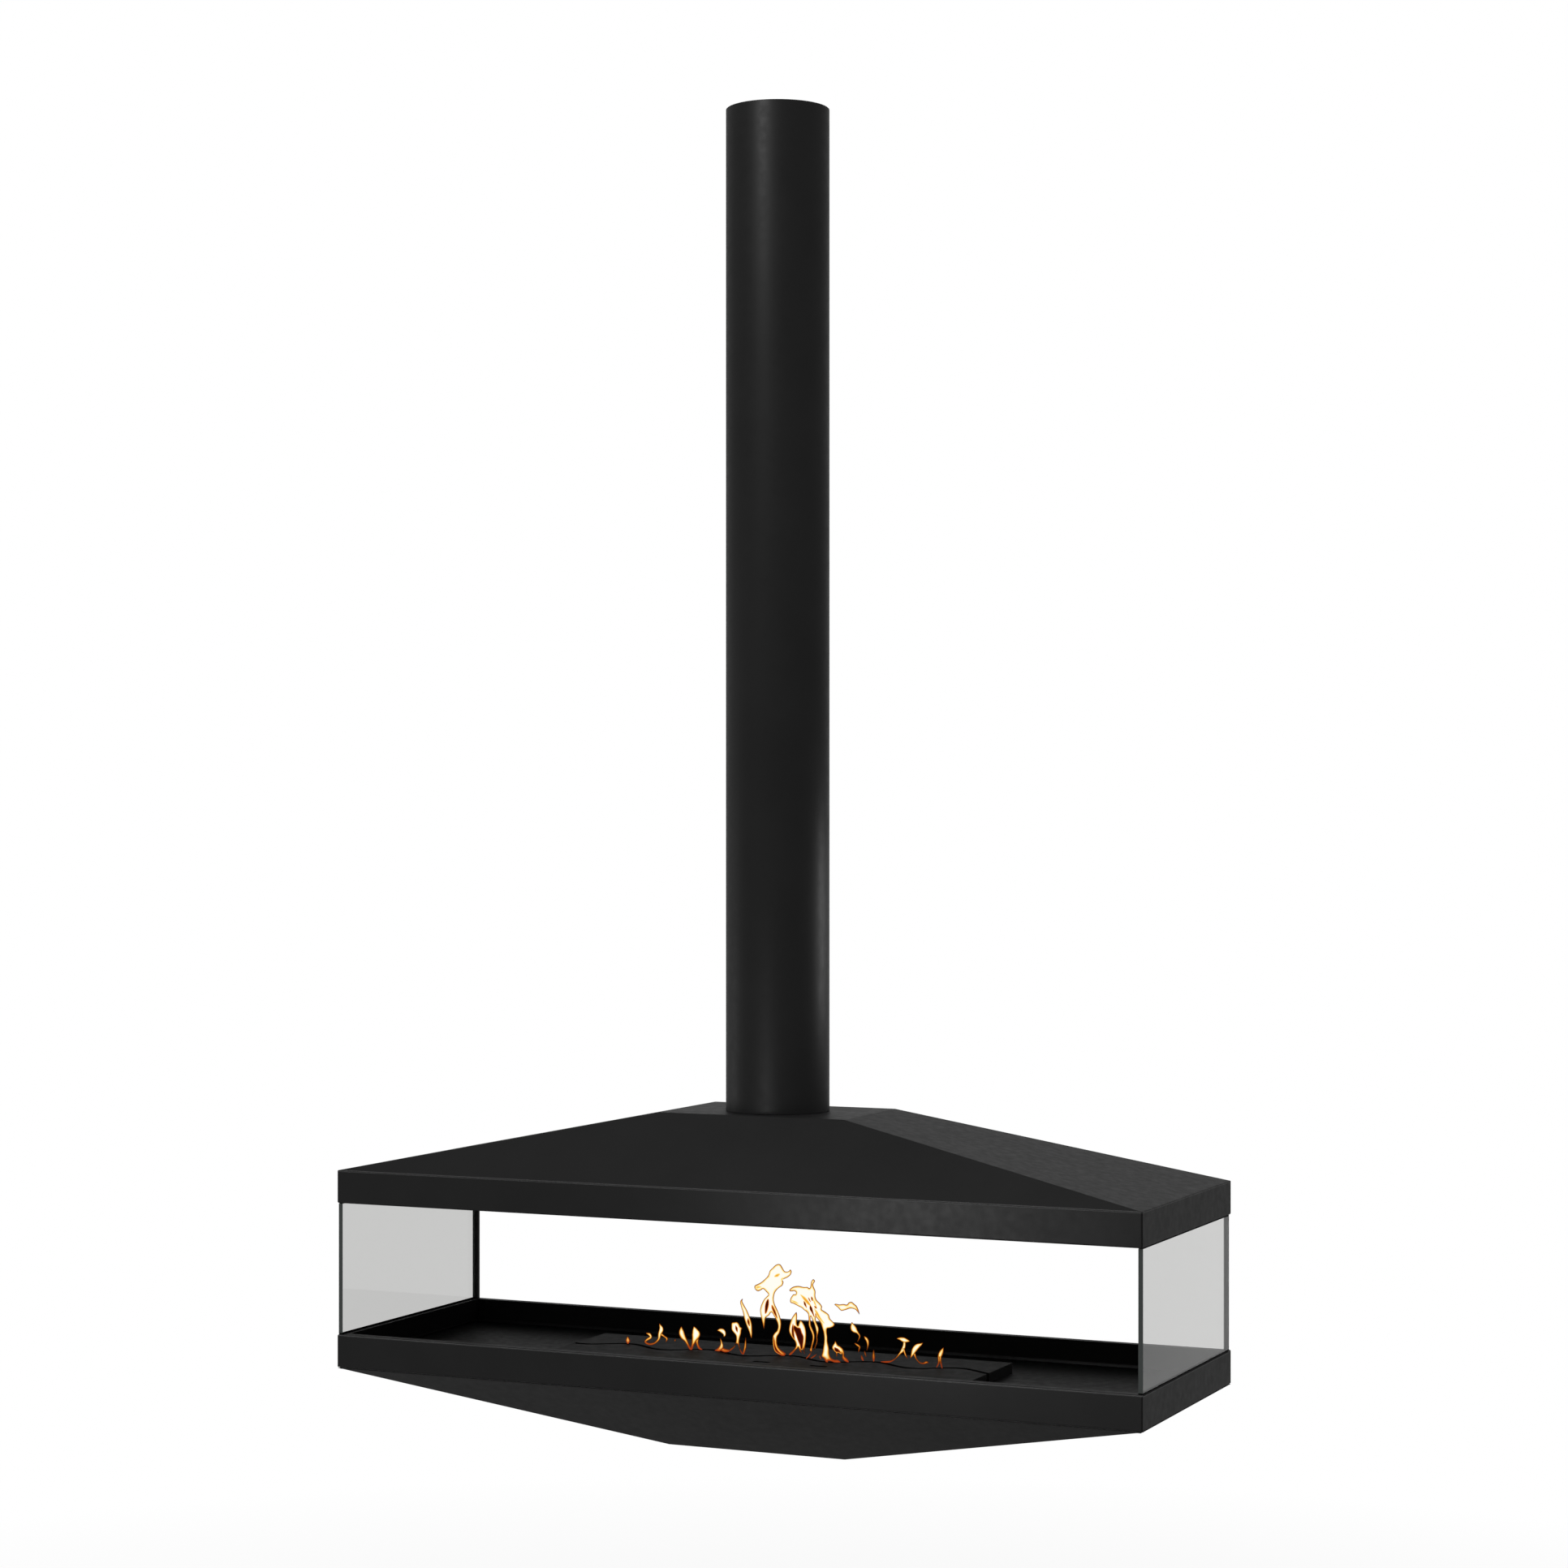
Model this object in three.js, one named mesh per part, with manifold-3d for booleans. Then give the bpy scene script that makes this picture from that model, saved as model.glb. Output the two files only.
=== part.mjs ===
// Hanging fireplace: a hipped hood and an open tray, hung from the ceiling on a round tube.
// Millimetres, +Z up, X along the body, +Y to the rear. The origin is the centre of the
// ceiling bracket's top face, so the whole object hangs below zero.

import * as THREE from 'three';
import { mergeVertices } from 'three/addons/utils/BufferGeometryUtils.js';
import Module from 'manifold-3d';

const wasm = await Module();
wasm.setup();

// Body
const bodyLength = 1500;
const bodyDepth = 495;
const sheetWall = 2;
const bendRadius = 2.5;
const hoodBandHeight = 58.5;
const openingHeight = 234;
const trayBandHeight = 57.5;
const cornerSeamWidth = 1.2;
const cornerSeamDepth = 1.1;

// Roof and base
const roofRise = 114;
const roofFlatLength = 353;
const roofFlatDepth = 231;
const baseDrop = 119.5;
const baseFlatLength = 338;
const baseFlatDepth = 185;
const eavesChamfer = 0.9;

// Clearances and round pieces
const seatGap = 0.3;
const overrun = 5;
const weldTolerance = 0.0001;
const hexSides = 6;
const boltSides = 16;
const tubeSides = 72;
const bendSteps = 3;

// Suspension tube and ceiling bracket
const suspensionDrop = 1758;
const tubeDiameter = 182;
const tubeWall = 3;
const tubeEndGap = 0.5;
const bracketPlate = 8;
const bracketCollarDepth = 60;
const bracketCollarWall = 5;
const anchorCircle = 110;
const anchorHole = 11;
const setScrewDiameter = 8;
const setScrewDrop = 30;
const setScrewSocket = 4;
const setScrewSocketDepth = 3;
const setScrewStepDegrees = 60;

// Tube foot, spreader plate and hanging bolts
const footRingThickness = 12;
const footRingBore = 100;
const spreaderThickness = 8;
const spreaderMargin = 9;
const hangingCircle = 140;
const hangingBoltDiameter = 10;
const hangingBoltCount = 4;

// Hood rim, stays and heat shield
const hoodRimWidth = 24;
const rimThickness = 5;
const shieldThickness = 1.5;
const shieldLap = 11.3;
const shieldScrewDiameter = 4;
const shieldScrewHead = 7.6;
const shieldScrewProud = 2;
const shieldScrewShare = 0.53;
const stayWidth = 40;
const stayThickness = 5;
const stayTab = 46;
const stayFoot = 24;
const stayBoltDiameter = 8;
const stayFootBoltDiameter = 6;

// End panes, seals and rear posts
const paneThickness = 8;
const paneInset = 0.5;
const paneSetback = 4.5;
const paneArris = 0.8;
const footSealHeight = 2;
const headSealHeight = 0.8;
const sealInset = 0.5;
const postWidth = 12;
const postDepth = 8;
const postInset = 2;
const postSetback = 6;
const postArris = 0.6;
const postScrewDiameter = 5;
const postScrewBite = 14;

// Tray, floor, foot frame and base cover
const rimWidth = 18;
const skirtDepth = 36.5;
const floorDepth = 44.5;
const floorThickness = 3;
const footFrameWidth = 20;
const shadowGap = 2;
const shadowGapDepth = 4;
const baseScrewDiameter = 4;
const baseScrewShare = 0.5;

// Burner plates
const burnerLength = 795;
const burnerDepth = 220;
const burnerHeight = 18;
const burnerPlate = 2;
const slitWidth = 5;
const slitOffset = 3;
const waveHeight = 17;
const waveCount = 5;
const wavePhaseShare = 0.61;
const waveSteps = 20;
const toolSlotLength = 24;
const toolSlotWidth = 3;
const toolSlotSpacing = 108;
const toolSlotSetback = 60;
const toolSlotOffset = 50;

// Fuel tank, wick and register slide
const tankWall = 1.5;
const tankLip = 18;
const tankMargin = 10;
const tankDepth = 58;
const tankClearance = 3;
const portPitch = 40;
const portLength = 19;
const portDepth = 46;
const portEndMargin = 14;
const registerThickness = 2;
const registerTravel = 20;
const registerEdge = 12;
const registerEndGap = 4;
const lugWidth = 3;
const lugThickness = 2;
const lugClearance = 1;
const railWidth = 6;
const railHeight = 5;
const railLedge = 2;
const wickDepth = 60;
const wickHeight = 34;
const wickEndMargin = 20;

// Fastener proportions, as shares of the thread diameter
const headHeightShare = 0.64;
const hexAcrossShare = 1.7;
const panHeadShare = 1.8;
const panHeightShare = 0.55;

// Levels, worked out from the ceiling down
const roofTop = -suspensionDrop;
const eavesLevel = roofTop - roofRise;
const hoodFoot = eavesLevel - hoodBandHeight;
const hoodRimTop = hoodFoot + rimThickness;
const trayTop = hoodFoot - openingHeight;
const trayFoot = trayTop - trayBandHeight;
const baseFoot = trayFoot - baseDrop;
const floorTop = trayTop - floorDepth;
const floorUnder = floorTop - floorThickness;
const skirtFoot = trayTop - skirtDepth;
const burnerTop = floorTop + burnerHeight;
const burnerUnder = burnerTop - burnerPlate;
const halfLength = bodyLength / 2;
const halfDepth = bodyDepth / 2;
const innerLength = halfLength - sheetWall;
const innerDepth = halfDepth - sheetWall;

// Materials
function finish(color, roughness, metalness, opacity = 1) {
  return new THREE.MeshStandardMaterial({ color, roughness, metalness, opacity, transparent: opacity < 1 });
}

const blackCoat = finish(0x232323, 0.55, 0.3);
const heatBlack = finish(0x1b1b1b, 0.8, 0.2);
const zincSteel = finish(0x8f9296, 0.4, 0.9);
const stainless = finish(0xa9abad, 0.35, 1);
const smokedGlass = finish(0xb9bcbc, 0.05, 0, 0.35);
const blackSilicone = finish(0x0d0d0d, 0.85, 0);
const ceramicWool = finish(0xe6e1d6, 0.95, 0);

const fireplace = new THREE.Group();

function addPiece(name, geometry, material) {
  const mesh = new THREE.Mesh(geometry, material);
  mesh.name = name;
  fireplace.add(mesh);
}

// One numbered piece for each place
function addCopies(name, places, make, material) {
  places.forEach((place, step) => addPiece(`${name}_${step + 1}`, make(place), material));
}

// Solids: conversion both ways, and joins and cuts
function toSolid(geometry) {
  const bare = geometry.clone();
  bare.deleteAttribute('normal');
  bare.deleteAttribute('uv');
  const merged = mergeVertices(bare, weldTolerance);
  return new wasm.Manifold(new wasm.Mesh({
    numProp: 3,
    vertProperties: new Float32Array(merged.attributes.position.array),
    triVerts: new Uint32Array(merged.index.array),
  }));
}

function toGeometry(solid) {
  const mesh = solid.getMesh();
  const geometry = new THREE.BufferGeometry();
  geometry.setAttribute('position', new THREE.BufferAttribute(mesh.vertProperties, mesh.numProp));
  geometry.setIndex(new THREE.BufferAttribute(mesh.triVerts, 1));
  geometry.computeVertexNormals();
  return geometry;
}

function join(...geometries) {
  return toGeometry(geometries.map(toSolid).reduce((sum, next) => sum.add(next)));
}

function cut(geometry, cutters) {
  return toGeometry(cutters.map(toSolid).reduce((rest, next) => rest.subtract(next), toSolid(geometry)));
}

// Plain shapes given by their limits
function block(lowX, highX, lowY, highY, lowZ, highZ) {
  const geometry = new THREE.BoxGeometry(highX - lowX, highY - lowY, highZ - lowZ);
  return geometry.translate((lowX + highX) / 2, (lowY + highY) / 2, (lowZ + highZ) / 2);
}

function rod(diameter, x, y, lowZ, highZ, sides = boltSides, topDiameter = diameter) {
  const geometry = new THREE.CylinderGeometry(topDiameter / 2, diameter / 2, highZ - lowZ, sides);
  return geometry.rotateX(Math.PI / 2).translate(x, y, (lowZ + highZ) / 2);
}

function centredBlock(halfX, halfY, lowZ, highZ) {
  return block(-halfX, halfX, -halfY, halfY, lowZ, highZ);
}

// The four sign pairs of a rectangle's corners, and the two sides
const corners = [[-1, -1], [1, -1], [1, 1], [-1, 1]];
const sides = [['left', -1], ['right', 1]];

// One level of a loft: a rectangle with rounded corners
function roundedRing(halfX, halfY, radius, z) {
  const points = [];
  corners.forEach(([signX, signY], quarter) => {
    for (let step = 0; step <= bendSteps; step += 1) {
      const angle = Math.PI + (quarter + step / bendSteps) * (Math.PI / 2);
      points.push([
        signX * (halfX - radius) + radius * Math.cos(angle),
        signY * (halfY - radius) + radius * Math.sin(angle),
        z,
      ]);
    }
  });
  return points;
}

// A closed body through levels that run from the lowest ring to the highest
function loft(rings) {
  const count = rings[0].length;
  const positions = rings.flat(2);
  const index = [];
  for (let level = 0; level < rings.length - 1; level += 1) {
    for (let point = 0; point < count; point += 1) {
      const next = (point + 1) % count;
      const a = level * count + point;
      const b = level * count + next;
      index.push(a, b, b + count, a, b + count, a + count);
    }
  }
  const top = (rings.length - 1) * count;
  for (let point = 1; point < count - 1; point += 1) {
    index.push(0, point + 1, point);
    index.push(top, top + point, top + point + 1);
  }
  const geometry = new THREE.BufferGeometry();
  geometry.setAttribute('position', new THREE.Float32BufferAttribute(positions, 3));
  geometry.setIndex(index);
  return geometry;
}

// An upright bar of rounded section
function bar(x, y, halfX, halfY, radius, lowZ, highZ) {
  const rings = [roundedRing(halfX, halfY, radius, lowZ), roundedRing(halfX, halfY, radius, highZ)];
  return loft(rings).translate(x, y, 0);
}

// A flat ring of rectangular bar, set inside the sheet band
function barRing(halfX, halfY, width, lowZ, highZ) {
  const hole = centredBlock(halfX - width, halfY - width, lowZ - overrun, highZ + overrun);
  return cut(bar(0, 0, halfX, halfY, bendRadius, lowZ, highZ), [hole]);
}

// Rings of a folded edge: from flat underside round the bend to the upright face
function foldedEdge(halfX, halfY, z, upward) {
  const levels = [];
  for (let step = 0; step <= bendSteps; step += 1) {
    const angle = (step / bendSteps) * (Math.PI / 2);
    const inset = bendRadius * (1 - Math.sin(angle));
    const rise = bendRadius * (1 - Math.cos(angle));
    levels.push(roundedRing(halfX - inset, halfY - inset, bendRadius, z + upward * rise));
  }
  return upward > 0 ? levels : levels.reverse();
}

// Upright seams at the band's four corners, where the sheets meet
function cornerSeams(lowZ, highZ) {
  return corners.map(([signX, signY]) => {
    const arcMiddle = bendRadius * (1 - Math.SQRT1_2);
    const floorInset = arcMiddle + cornerSeamDepth * Math.SQRT1_2;
    const groove = new THREE.BoxGeometry(overrun, cornerSeamWidth, highZ - lowZ + overrun * 2);
    groove.translate(overrun / 2, 0, 0).rotateZ(Math.atan2(signY, signX));
    return groove.translate(
      signX * (halfLength - floorInset),
      signY * (halfDepth - floorInset),
      (lowZ + highZ) / 2,
    );
  });
}

// Fasteners: heads sit at headZ, and the shank runs away from it by length along direction
function hexBolt(diameter, x, y, headZ, length, direction) {
  const headEnd = headZ - direction * diameter * headHeightShare;
  const shankEnd = headZ + direction * length;
  const across = diameter * hexAcrossShare;
  return join(
    rod(across, x, y, Math.min(headZ, headEnd), Math.max(headZ, headEnd), hexSides),
    rod(diameter, x, y, Math.min(headEnd, shankEnd), Math.max(headEnd, shankEnd)),
  );
}

function panScrew(diameter, x, y, headZ, length, direction) {
  const headEnd = headZ - direction * diameter * panHeightShare;
  const shankEnd = headZ + direction * length;
  return join(
    rod(diameter * panHeadShare, x, y, Math.min(headZ, headEnd), Math.max(headZ, headEnd)),
    rod(diameter, x, y, Math.min(headEnd, shankEnd), Math.max(headEnd, shankEnd)),
  );
}

function throughHole(diameter, x, y, lowZ, highZ) {
  return rod(diameter + seatGap * 2, x, y, lowZ - overrun, highZ + overrun);
}

// Ceiling bracket, set screws and tube
const tubeInner = tubeDiameter - tubeWall * 2;
const collarOuter = tubeInner - seatGap * 2;
const collarInner = collarOuter - bracketCollarWall * 2;
const setScrewStep = THREE.MathUtils.degToRad(setScrewStepDegrees);
const setScrewAngles = [-1, 0, 1].map((step) => Math.PI / 2 + step * setScrewStep);

function radialRod(diameter, innerRadius, outerRadius, angle, sideCount = boltSides) {
  const radius = diameter / 2;
  const geometry = new THREE.CylinderGeometry(radius, radius, outerRadius - innerRadius, sideCount);
  geometry.rotateZ(-Math.PI / 2).translate((innerRadius + outerRadius) / 2, 0, 0);
  return geometry.rotateZ(angle).translate(0, 0, -setScrewDrop);
}

function setScrewHoles() {
  const inner = collarInner / 2 - overrun;
  const outer = tubeDiameter / 2 + overrun;
  return setScrewAngles.map((angle) => radialRod(setScrewDiameter + seatGap * 2, inner, outer, angle));
}

function ceilingPlate() {
  const reach = anchorCircle / 2 / Math.SQRT2;
  const anchors = corners.map(([signX, signY]) => (
    rod(anchorHole, signX * reach, signY * reach, -bracketPlate - overrun, overrun)
  ));
  return cut(rod(collarOuter, 0, 0, -bracketPlate, 0, tubeSides), anchors);
}

function bracketCollar() {
  const top = -bracketPlate - seatGap;
  const bore = rod(collarInner, 0, 0, -bracketCollarDepth - overrun, top + overrun, tubeSides);
  const ring = rod(collarOuter, 0, 0, -bracketCollarDepth, top, tubeSides);
  return cut(ring, [bore, ...setScrewHoles()]);
}

function setScrew(angle) {
  const outer = tubeDiameter / 2;
  const socketInner = outer - setScrewSocketDepth;
  const socket = radialRod(setScrewSocket, socketInner, outer + overrun, angle, hexSides);
  return cut(radialRod(setScrewDiameter, collarInner / 2, outer, angle), [socket]);
}

function suspensionTube() {
  const foot = roofTop + seatGap;
  const bore = rod(tubeInner, 0, 0, foot - overrun, overrun, tubeSides);
  return cut(rod(tubeDiameter, 0, 0, foot, -tubeEndGap, tubeSides), [bore, ...setScrewHoles()]);
}

// Foot ring, spreader plate and hanging bolts
const spreaderTop = roofTop - sheetWall - seatGap;
const spreaderUnder = spreaderTop - spreaderThickness;
const footRingTop = roofTop + seatGap + footRingThickness;
const hangingBoltPlaces = Array.from({ length: hangingBoltCount }, (_, step) => {
  const angle = ((step + 0.5) / hangingBoltCount) * Math.PI * 2;
  return [hangingCircle / 2 * Math.cos(angle), hangingCircle / 2 * Math.sin(angle)];
});
const hangingHoles = hangingBoltPlaces.map(([x, y]) => (
  throughHole(hangingBoltDiameter, x, y, spreaderUnder, footRingTop)
));

function footRing() {
  const bottom = roofTop + seatGap;
  const bore = rod(footRingBore, 0, 0, bottom - overrun, footRingTop + overrun, tubeSides);
  return cut(rod(tubeInner - seatGap * 2, 0, 0, bottom, footRingTop, tubeSides), [bore, ...hangingHoles]);
}

const spreaderHalfX = roofFlatLength / 2 - spreaderMargin;
const spreaderHalfY = roofFlatDepth / 2 - spreaderMargin;
const stayBoltX = spreaderHalfX - stayTab / 2;

function stayHoles() {
  const low = spreaderUnder - stayThickness;
  return sides.map(([, sign]) => throughHole(stayBoltDiameter, sign * stayBoltX, 0, low, spreaderTop));
}

function spreaderPlate() {
  const plate = centredBlock(spreaderHalfX, spreaderHalfY, spreaderUnder, spreaderTop);
  return cut(plate, [...hangingHoles, ...stayHoles()]);
}

function hangingBolt([x, y]) {
  const length = footRingTop - spreaderUnder - seatGap;
  return hexBolt(hangingBoltDiameter, x, y, spreaderUnder - seatGap, length, 1);
}

// How far in from a sloping face its inner side lies, measured level
function slopeInset(run, rise) {
  return sheetWall * Math.hypot(run, rise) / rise;
}

// Hood band: folded sheet, open above and below
const hoodInnerRadius = bendRadius / 2;
const hoodJoint = eavesLevel - eavesChamfer;

function hoodBand() {
  const top = hoodJoint - seatGap;
  const outer = loft([
    ...foldedEdge(halfLength, halfDepth, hoodFoot, 1),
    roundedRing(halfLength, halfDepth, bendRadius, top),
  ]);
  const hollow = bar(0, 0, innerLength, innerDepth, hoodInnerRadius, hoodFoot - overrun, top + overrun);
  return cut(outer, [hollow, ...cornerSeams(hoodFoot, top)]);
}

// Hood roof: four slopes and a flat top, welded to the band along the eaves
function hoodRoof() {
  const outer = loft([
    roundedRing(halfLength, halfDepth, bendRadius, hoodJoint),
    roundedRing(halfLength - eavesChamfer, halfDepth - eavesChamfer, bendRadius, eavesLevel),
    roundedRing(roofFlatLength / 2, roofFlatDepth / 2, bendRadius, roofTop),
  ]);
  const runX = halfLength - roofFlatLength / 2;
  const runY = halfDepth - roofFlatDepth / 2;
  const flatHalfX = roofFlatLength / 2 + runX * sheetWall / roofRise - slopeInset(runX, roofRise);
  const flatHalfY = roofFlatDepth / 2 + runY * sheetWall / roofRise - slopeInset(runY, roofRise);
  const hollow = loft([
    roundedRing(innerLength, innerDepth, hoodInnerRadius, eavesLevel - sheetWall),
    roundedRing(flatHalfX, flatHalfY, hoodInnerRadius, roofTop - sheetWall),
  ]);
  return cut(outer, [hollow, ...hangingHoles]);
}

// Hood rim, heat shield and stays
const hoodRimHalfX = innerLength - seatGap;
const hoodRimHalfY = innerDepth - seatGap;
const shieldUnder = hoodRimTop + seatGap;
const shieldTop = shieldUnder + shieldThickness;
const shieldHalfX = hoodRimHalfX - hoodRimWidth + shieldLap;
const shieldHalfY = hoodRimHalfY - hoodRimWidth + shieldLap;
const stayFootBoltX = shieldHalfX - shieldLap / 2;
const stayFootUnder = shieldTop + seatGap;
const shieldScrewPlaces = corners.map(([signX, signY]) => [
  signX * halfLength * shieldScrewShare,
  signY * (shieldHalfY - shieldLap / 2),
]);
const postX = halfLength - postInset - postWidth / 2;
const postY = halfDepth - postSetback - postDepth / 2;

function shieldScrewHoles() {
  return shieldScrewPlaces.flatMap(([x, y]) => {
    const sink = (shieldScrewHead - shieldScrewDiameter) / 2;
    const wide = shieldScrewHead + seatGap * 2;
    const narrow = shieldScrewDiameter + seatGap * 2;
    return [
      throughHole(shieldScrewDiameter, x, y, hoodFoot, shieldTop),
      rod(wide, x, y, hoodFoot, hoodFoot + sink, boltSides, narrow),
      rod(wide, x, y, hoodFoot - overrun, hoodFoot),
    ];
  });
}

function stayFootHoles() {
  const high = stayFootUnder + stayThickness;
  return sides.map(([, sign]) => (
    throughHole(stayFootBoltDiameter, sign * stayFootBoltX, 0, hoodFoot, high)
  ));
}

function postScrewHoles(lowZ, highZ) {
  return sides.map(([, sign]) => throughHole(postScrewDiameter, sign * postX, postY, lowZ, highZ));
}

function hoodRim() {
  const ring = barRing(hoodRimHalfX, hoodRimHalfY, hoodRimWidth, hoodFoot, hoodRimTop);
  return cut(ring, [...postScrewHoles(hoodFoot, hoodRimTop), ...shieldScrewHoles(), ...stayFootHoles()]);
}

function heatShield() {
  const plate = centredBlock(shieldHalfX, shieldHalfY, shieldUnder, shieldTop);
  return cut(plate, [...shieldScrewHoles(), ...stayFootHoles()]);
}

function shieldScrew([x, y]) {
  const sink = (shieldScrewHead - shieldScrewDiameter) / 2;
  return join(
    rod(shieldScrewHead, x, y, hoodFoot, hoodFoot + sink, boltSides, shieldScrewDiameter),
    rod(shieldScrewDiameter, x, y, hoodFoot + sink / 2, shieldTop + shieldScrewProud),
  );
}

// A stay is flat bar bent twice: a level tab, the slope and a level foot
function stay(sign) {
  const tabTop = spreaderUnder - seatGap;
  const innerEnd = spreaderHalfX - stayTab;
  const footEnd = stayFootBoltX + stayFoot / 2;
  const footStart = footEnd - stayFoot;
  const outline = new THREE.Shape([
    new THREE.Vector2(innerEnd, tabTop),
    new THREE.Vector2(innerEnd, tabTop - stayThickness),
    new THREE.Vector2(spreaderHalfX, tabTop - stayThickness),
    new THREE.Vector2(footStart, stayFootUnder),
    new THREE.Vector2(footEnd, stayFootUnder),
    new THREE.Vector2(footEnd, stayFootUnder + stayThickness),
    new THREE.Vector2(footStart, stayFootUnder + stayThickness),
    new THREE.Vector2(spreaderHalfX, tabTop),
  ]);
  const flatBar = new THREE.ExtrudeGeometry(outline, { depth: stayWidth, bevelEnabled: false });
  flatBar.rotateX(Math.PI / 2).translate(0, stayWidth / 2, 0);
  if (sign < 0) flatBar.rotateZ(Math.PI);
  return cut(flatBar, [...stayHoles(), ...stayFootHoles()]);
}

function stayBolt(sign) {
  const headZ = spreaderUnder - stayThickness - seatGap * 2;
  return hexBolt(stayBoltDiameter, sign * stayBoltX, 0, headZ, spreaderTop - headZ - seatGap, 1);
}

function stayFootBolt(sign) {
  const headZ = stayFootUnder + stayThickness + seatGap;
  const length = headZ - hoodFoot - seatGap;
  return hexBolt(stayFootBoltDiameter, sign * stayFootBoltX, 0, headZ, length, -1);
}

// End panes, their seals and the rear posts
const paneOuterX = halfLength - paneInset;
const paneX = paneOuterX - paneThickness / 2;
const paneFrontY = -halfDepth + paneSetback;
const paneRearY = postY - postDepth / 2 - seatGap;
const paneY = (paneFrontY + paneRearY) / 2;
const paneHalfDepth = (paneRearY - paneFrontY) / 2;
const paneFoot = trayTop + seatGap;
const paneHead = hoodFoot - headSealHeight - seatGap * 2;
const sealHalfWidth = paneThickness / 2 - sealInset;

function pane(sign) {
  return bar(sign * paneX, paneY, paneThickness / 2, paneHalfDepth, paneArris, paneFoot, paneHead);
}

function seal(sign, lowZ, height) {
  const halfY = paneHalfDepth - sealInset;
  const x = sign * paneX;
  return block(x - sealHalfWidth, x + sealHalfWidth, paneY - halfY, paneY + halfY, lowZ, lowZ + height);
}

function sealRebate(sign) {
  const inner = sign * (paneX - paneThickness / 2 - seatGap);
  const outer = sign * (halfLength + overrun);
  const foot = trayTop - footSealHeight - seatGap;
  const top = trayTop + overrun;
  return block(Math.min(inner, outer), Math.max(inner, outer), paneFrontY, paneRearY, foot, top);
}

function postScrewHole(sign, endZ, direction) {
  const deep = endZ + direction * (postScrewBite + seatGap);
  const x = sign * postX;
  const open = endZ - direction * overrun;
  return rod(postScrewDiameter + seatGap * 2, x, postY, Math.min(deep, open), Math.max(deep, open));
}

function rearPost(sign) {
  const foot = trayTop + seatGap;
  const head = hoodFoot - seatGap;
  const upright = bar(sign * postX, postY, postWidth / 2, postDepth / 2, postArris, foot, head);
  return cut(upright, [postScrewHole(sign, foot, 1), postScrewHole(sign, head, -1)]);
}

function postHeadScrew(sign) {
  const headZ = hoodRimTop + seatGap;
  return panScrew(postScrewDiameter, sign * postX, postY, headZ, headZ - hoodFoot + postScrewBite, -1);
}

function postFootScrew(sign) {
  const headZ = trayTop - rimThickness - seatGap;
  return panScrew(postScrewDiameter, sign * postX, postY, headZ, trayTop - headZ + postScrewBite, 1);
}

// Tray shell: band, rim and inner skirt, open below, with a rebate for each foot seal
function trayShell() {
  const outer = loft([
    roundedRing(halfLength, halfDepth, bendRadius, trayFoot),
    ...foldedEdge(halfLength, halfDepth, trayTop, -1),
  ]);
  const rimUnder = trayTop - rimThickness;
  const skirtX = halfLength - rimWidth;
  const skirtY = halfDepth - rimWidth;
  const channel = centredBlock(innerLength, innerDepth, trayFoot - overrun, rimUnder);
  const skirtOuter = centredBlock(skirtX + sheetWall, skirtY + sheetWall, skirtFoot, rimUnder + overrun);
  const opening = centredBlock(skirtX, skirtY, trayFoot - overrun, trayTop + overrun);
  const groove = cut(channel, [skirtOuter]);
  const rebates = sides.map(([, sign]) => sealRebate(sign));
  return cut(outer, [
    groove,
    opening,
    ...postScrewHoles(rimUnder, trayTop),
    ...rebates,
    ...cornerSeams(trayFoot, trayTop),
  ]);
}

// Floor plate with turned-down edges, standing on the foot frame
const footFrameHalfX = innerLength - seatGap;
const footFrameHalfY = innerDepth - seatGap;
const footFrameTop = trayFoot + sheetWall;
const tankDeckHalfX = burnerLength / 2 - burnerPlate - tankMargin;
const tankDeckHalfY = burnerDepth / 2 - burnerPlate - tankMargin;
const tankHalfX = tankDeckHalfX - tankLip;
const tankHalfY = tankDeckHalfY - tankLip;

function floorPlate() {
  const foot = footFrameTop + seatGap;
  const under = centredBlock(
    footFrameHalfX - floorThickness,
    footFrameHalfY - floorThickness,
    foot - overrun,
    floorUnder,
  );
  const tankHole = centredBlock(
    tankHalfX + tankClearance,
    tankHalfY + tankClearance,
    floorUnder - overrun,
    floorTop + overrun,
  );
  return cut(centredBlock(footFrameHalfX, footFrameHalfY, foot, floorTop), [under, tankHole]);
}

const frameMidY = footFrameHalfY - footFrameWidth / 2;
const baseScrewPlaces = [-1, 1].flatMap((signY) => (
  [-1, 0, 1].map((step) => [step * halfLength * baseScrewShare, signY * frameMidY])
));
const baseTop = trayFoot - shadowGap;
const baseFlangeUnder = baseTop - sheetWall;
const baseScrewHoles = baseScrewPlaces.map(([x, y]) => (
  rod(baseScrewDiameter + seatGap * 2, x, y, baseFlangeUnder - seatGap, footFrameTop + overrun)
));

function footFrame() {
  const ring = barRing(footFrameHalfX, footFrameHalfY, footFrameWidth, trayFoot, footFrameTop);
  return cut(ring, baseScrewHoles);
}

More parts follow.
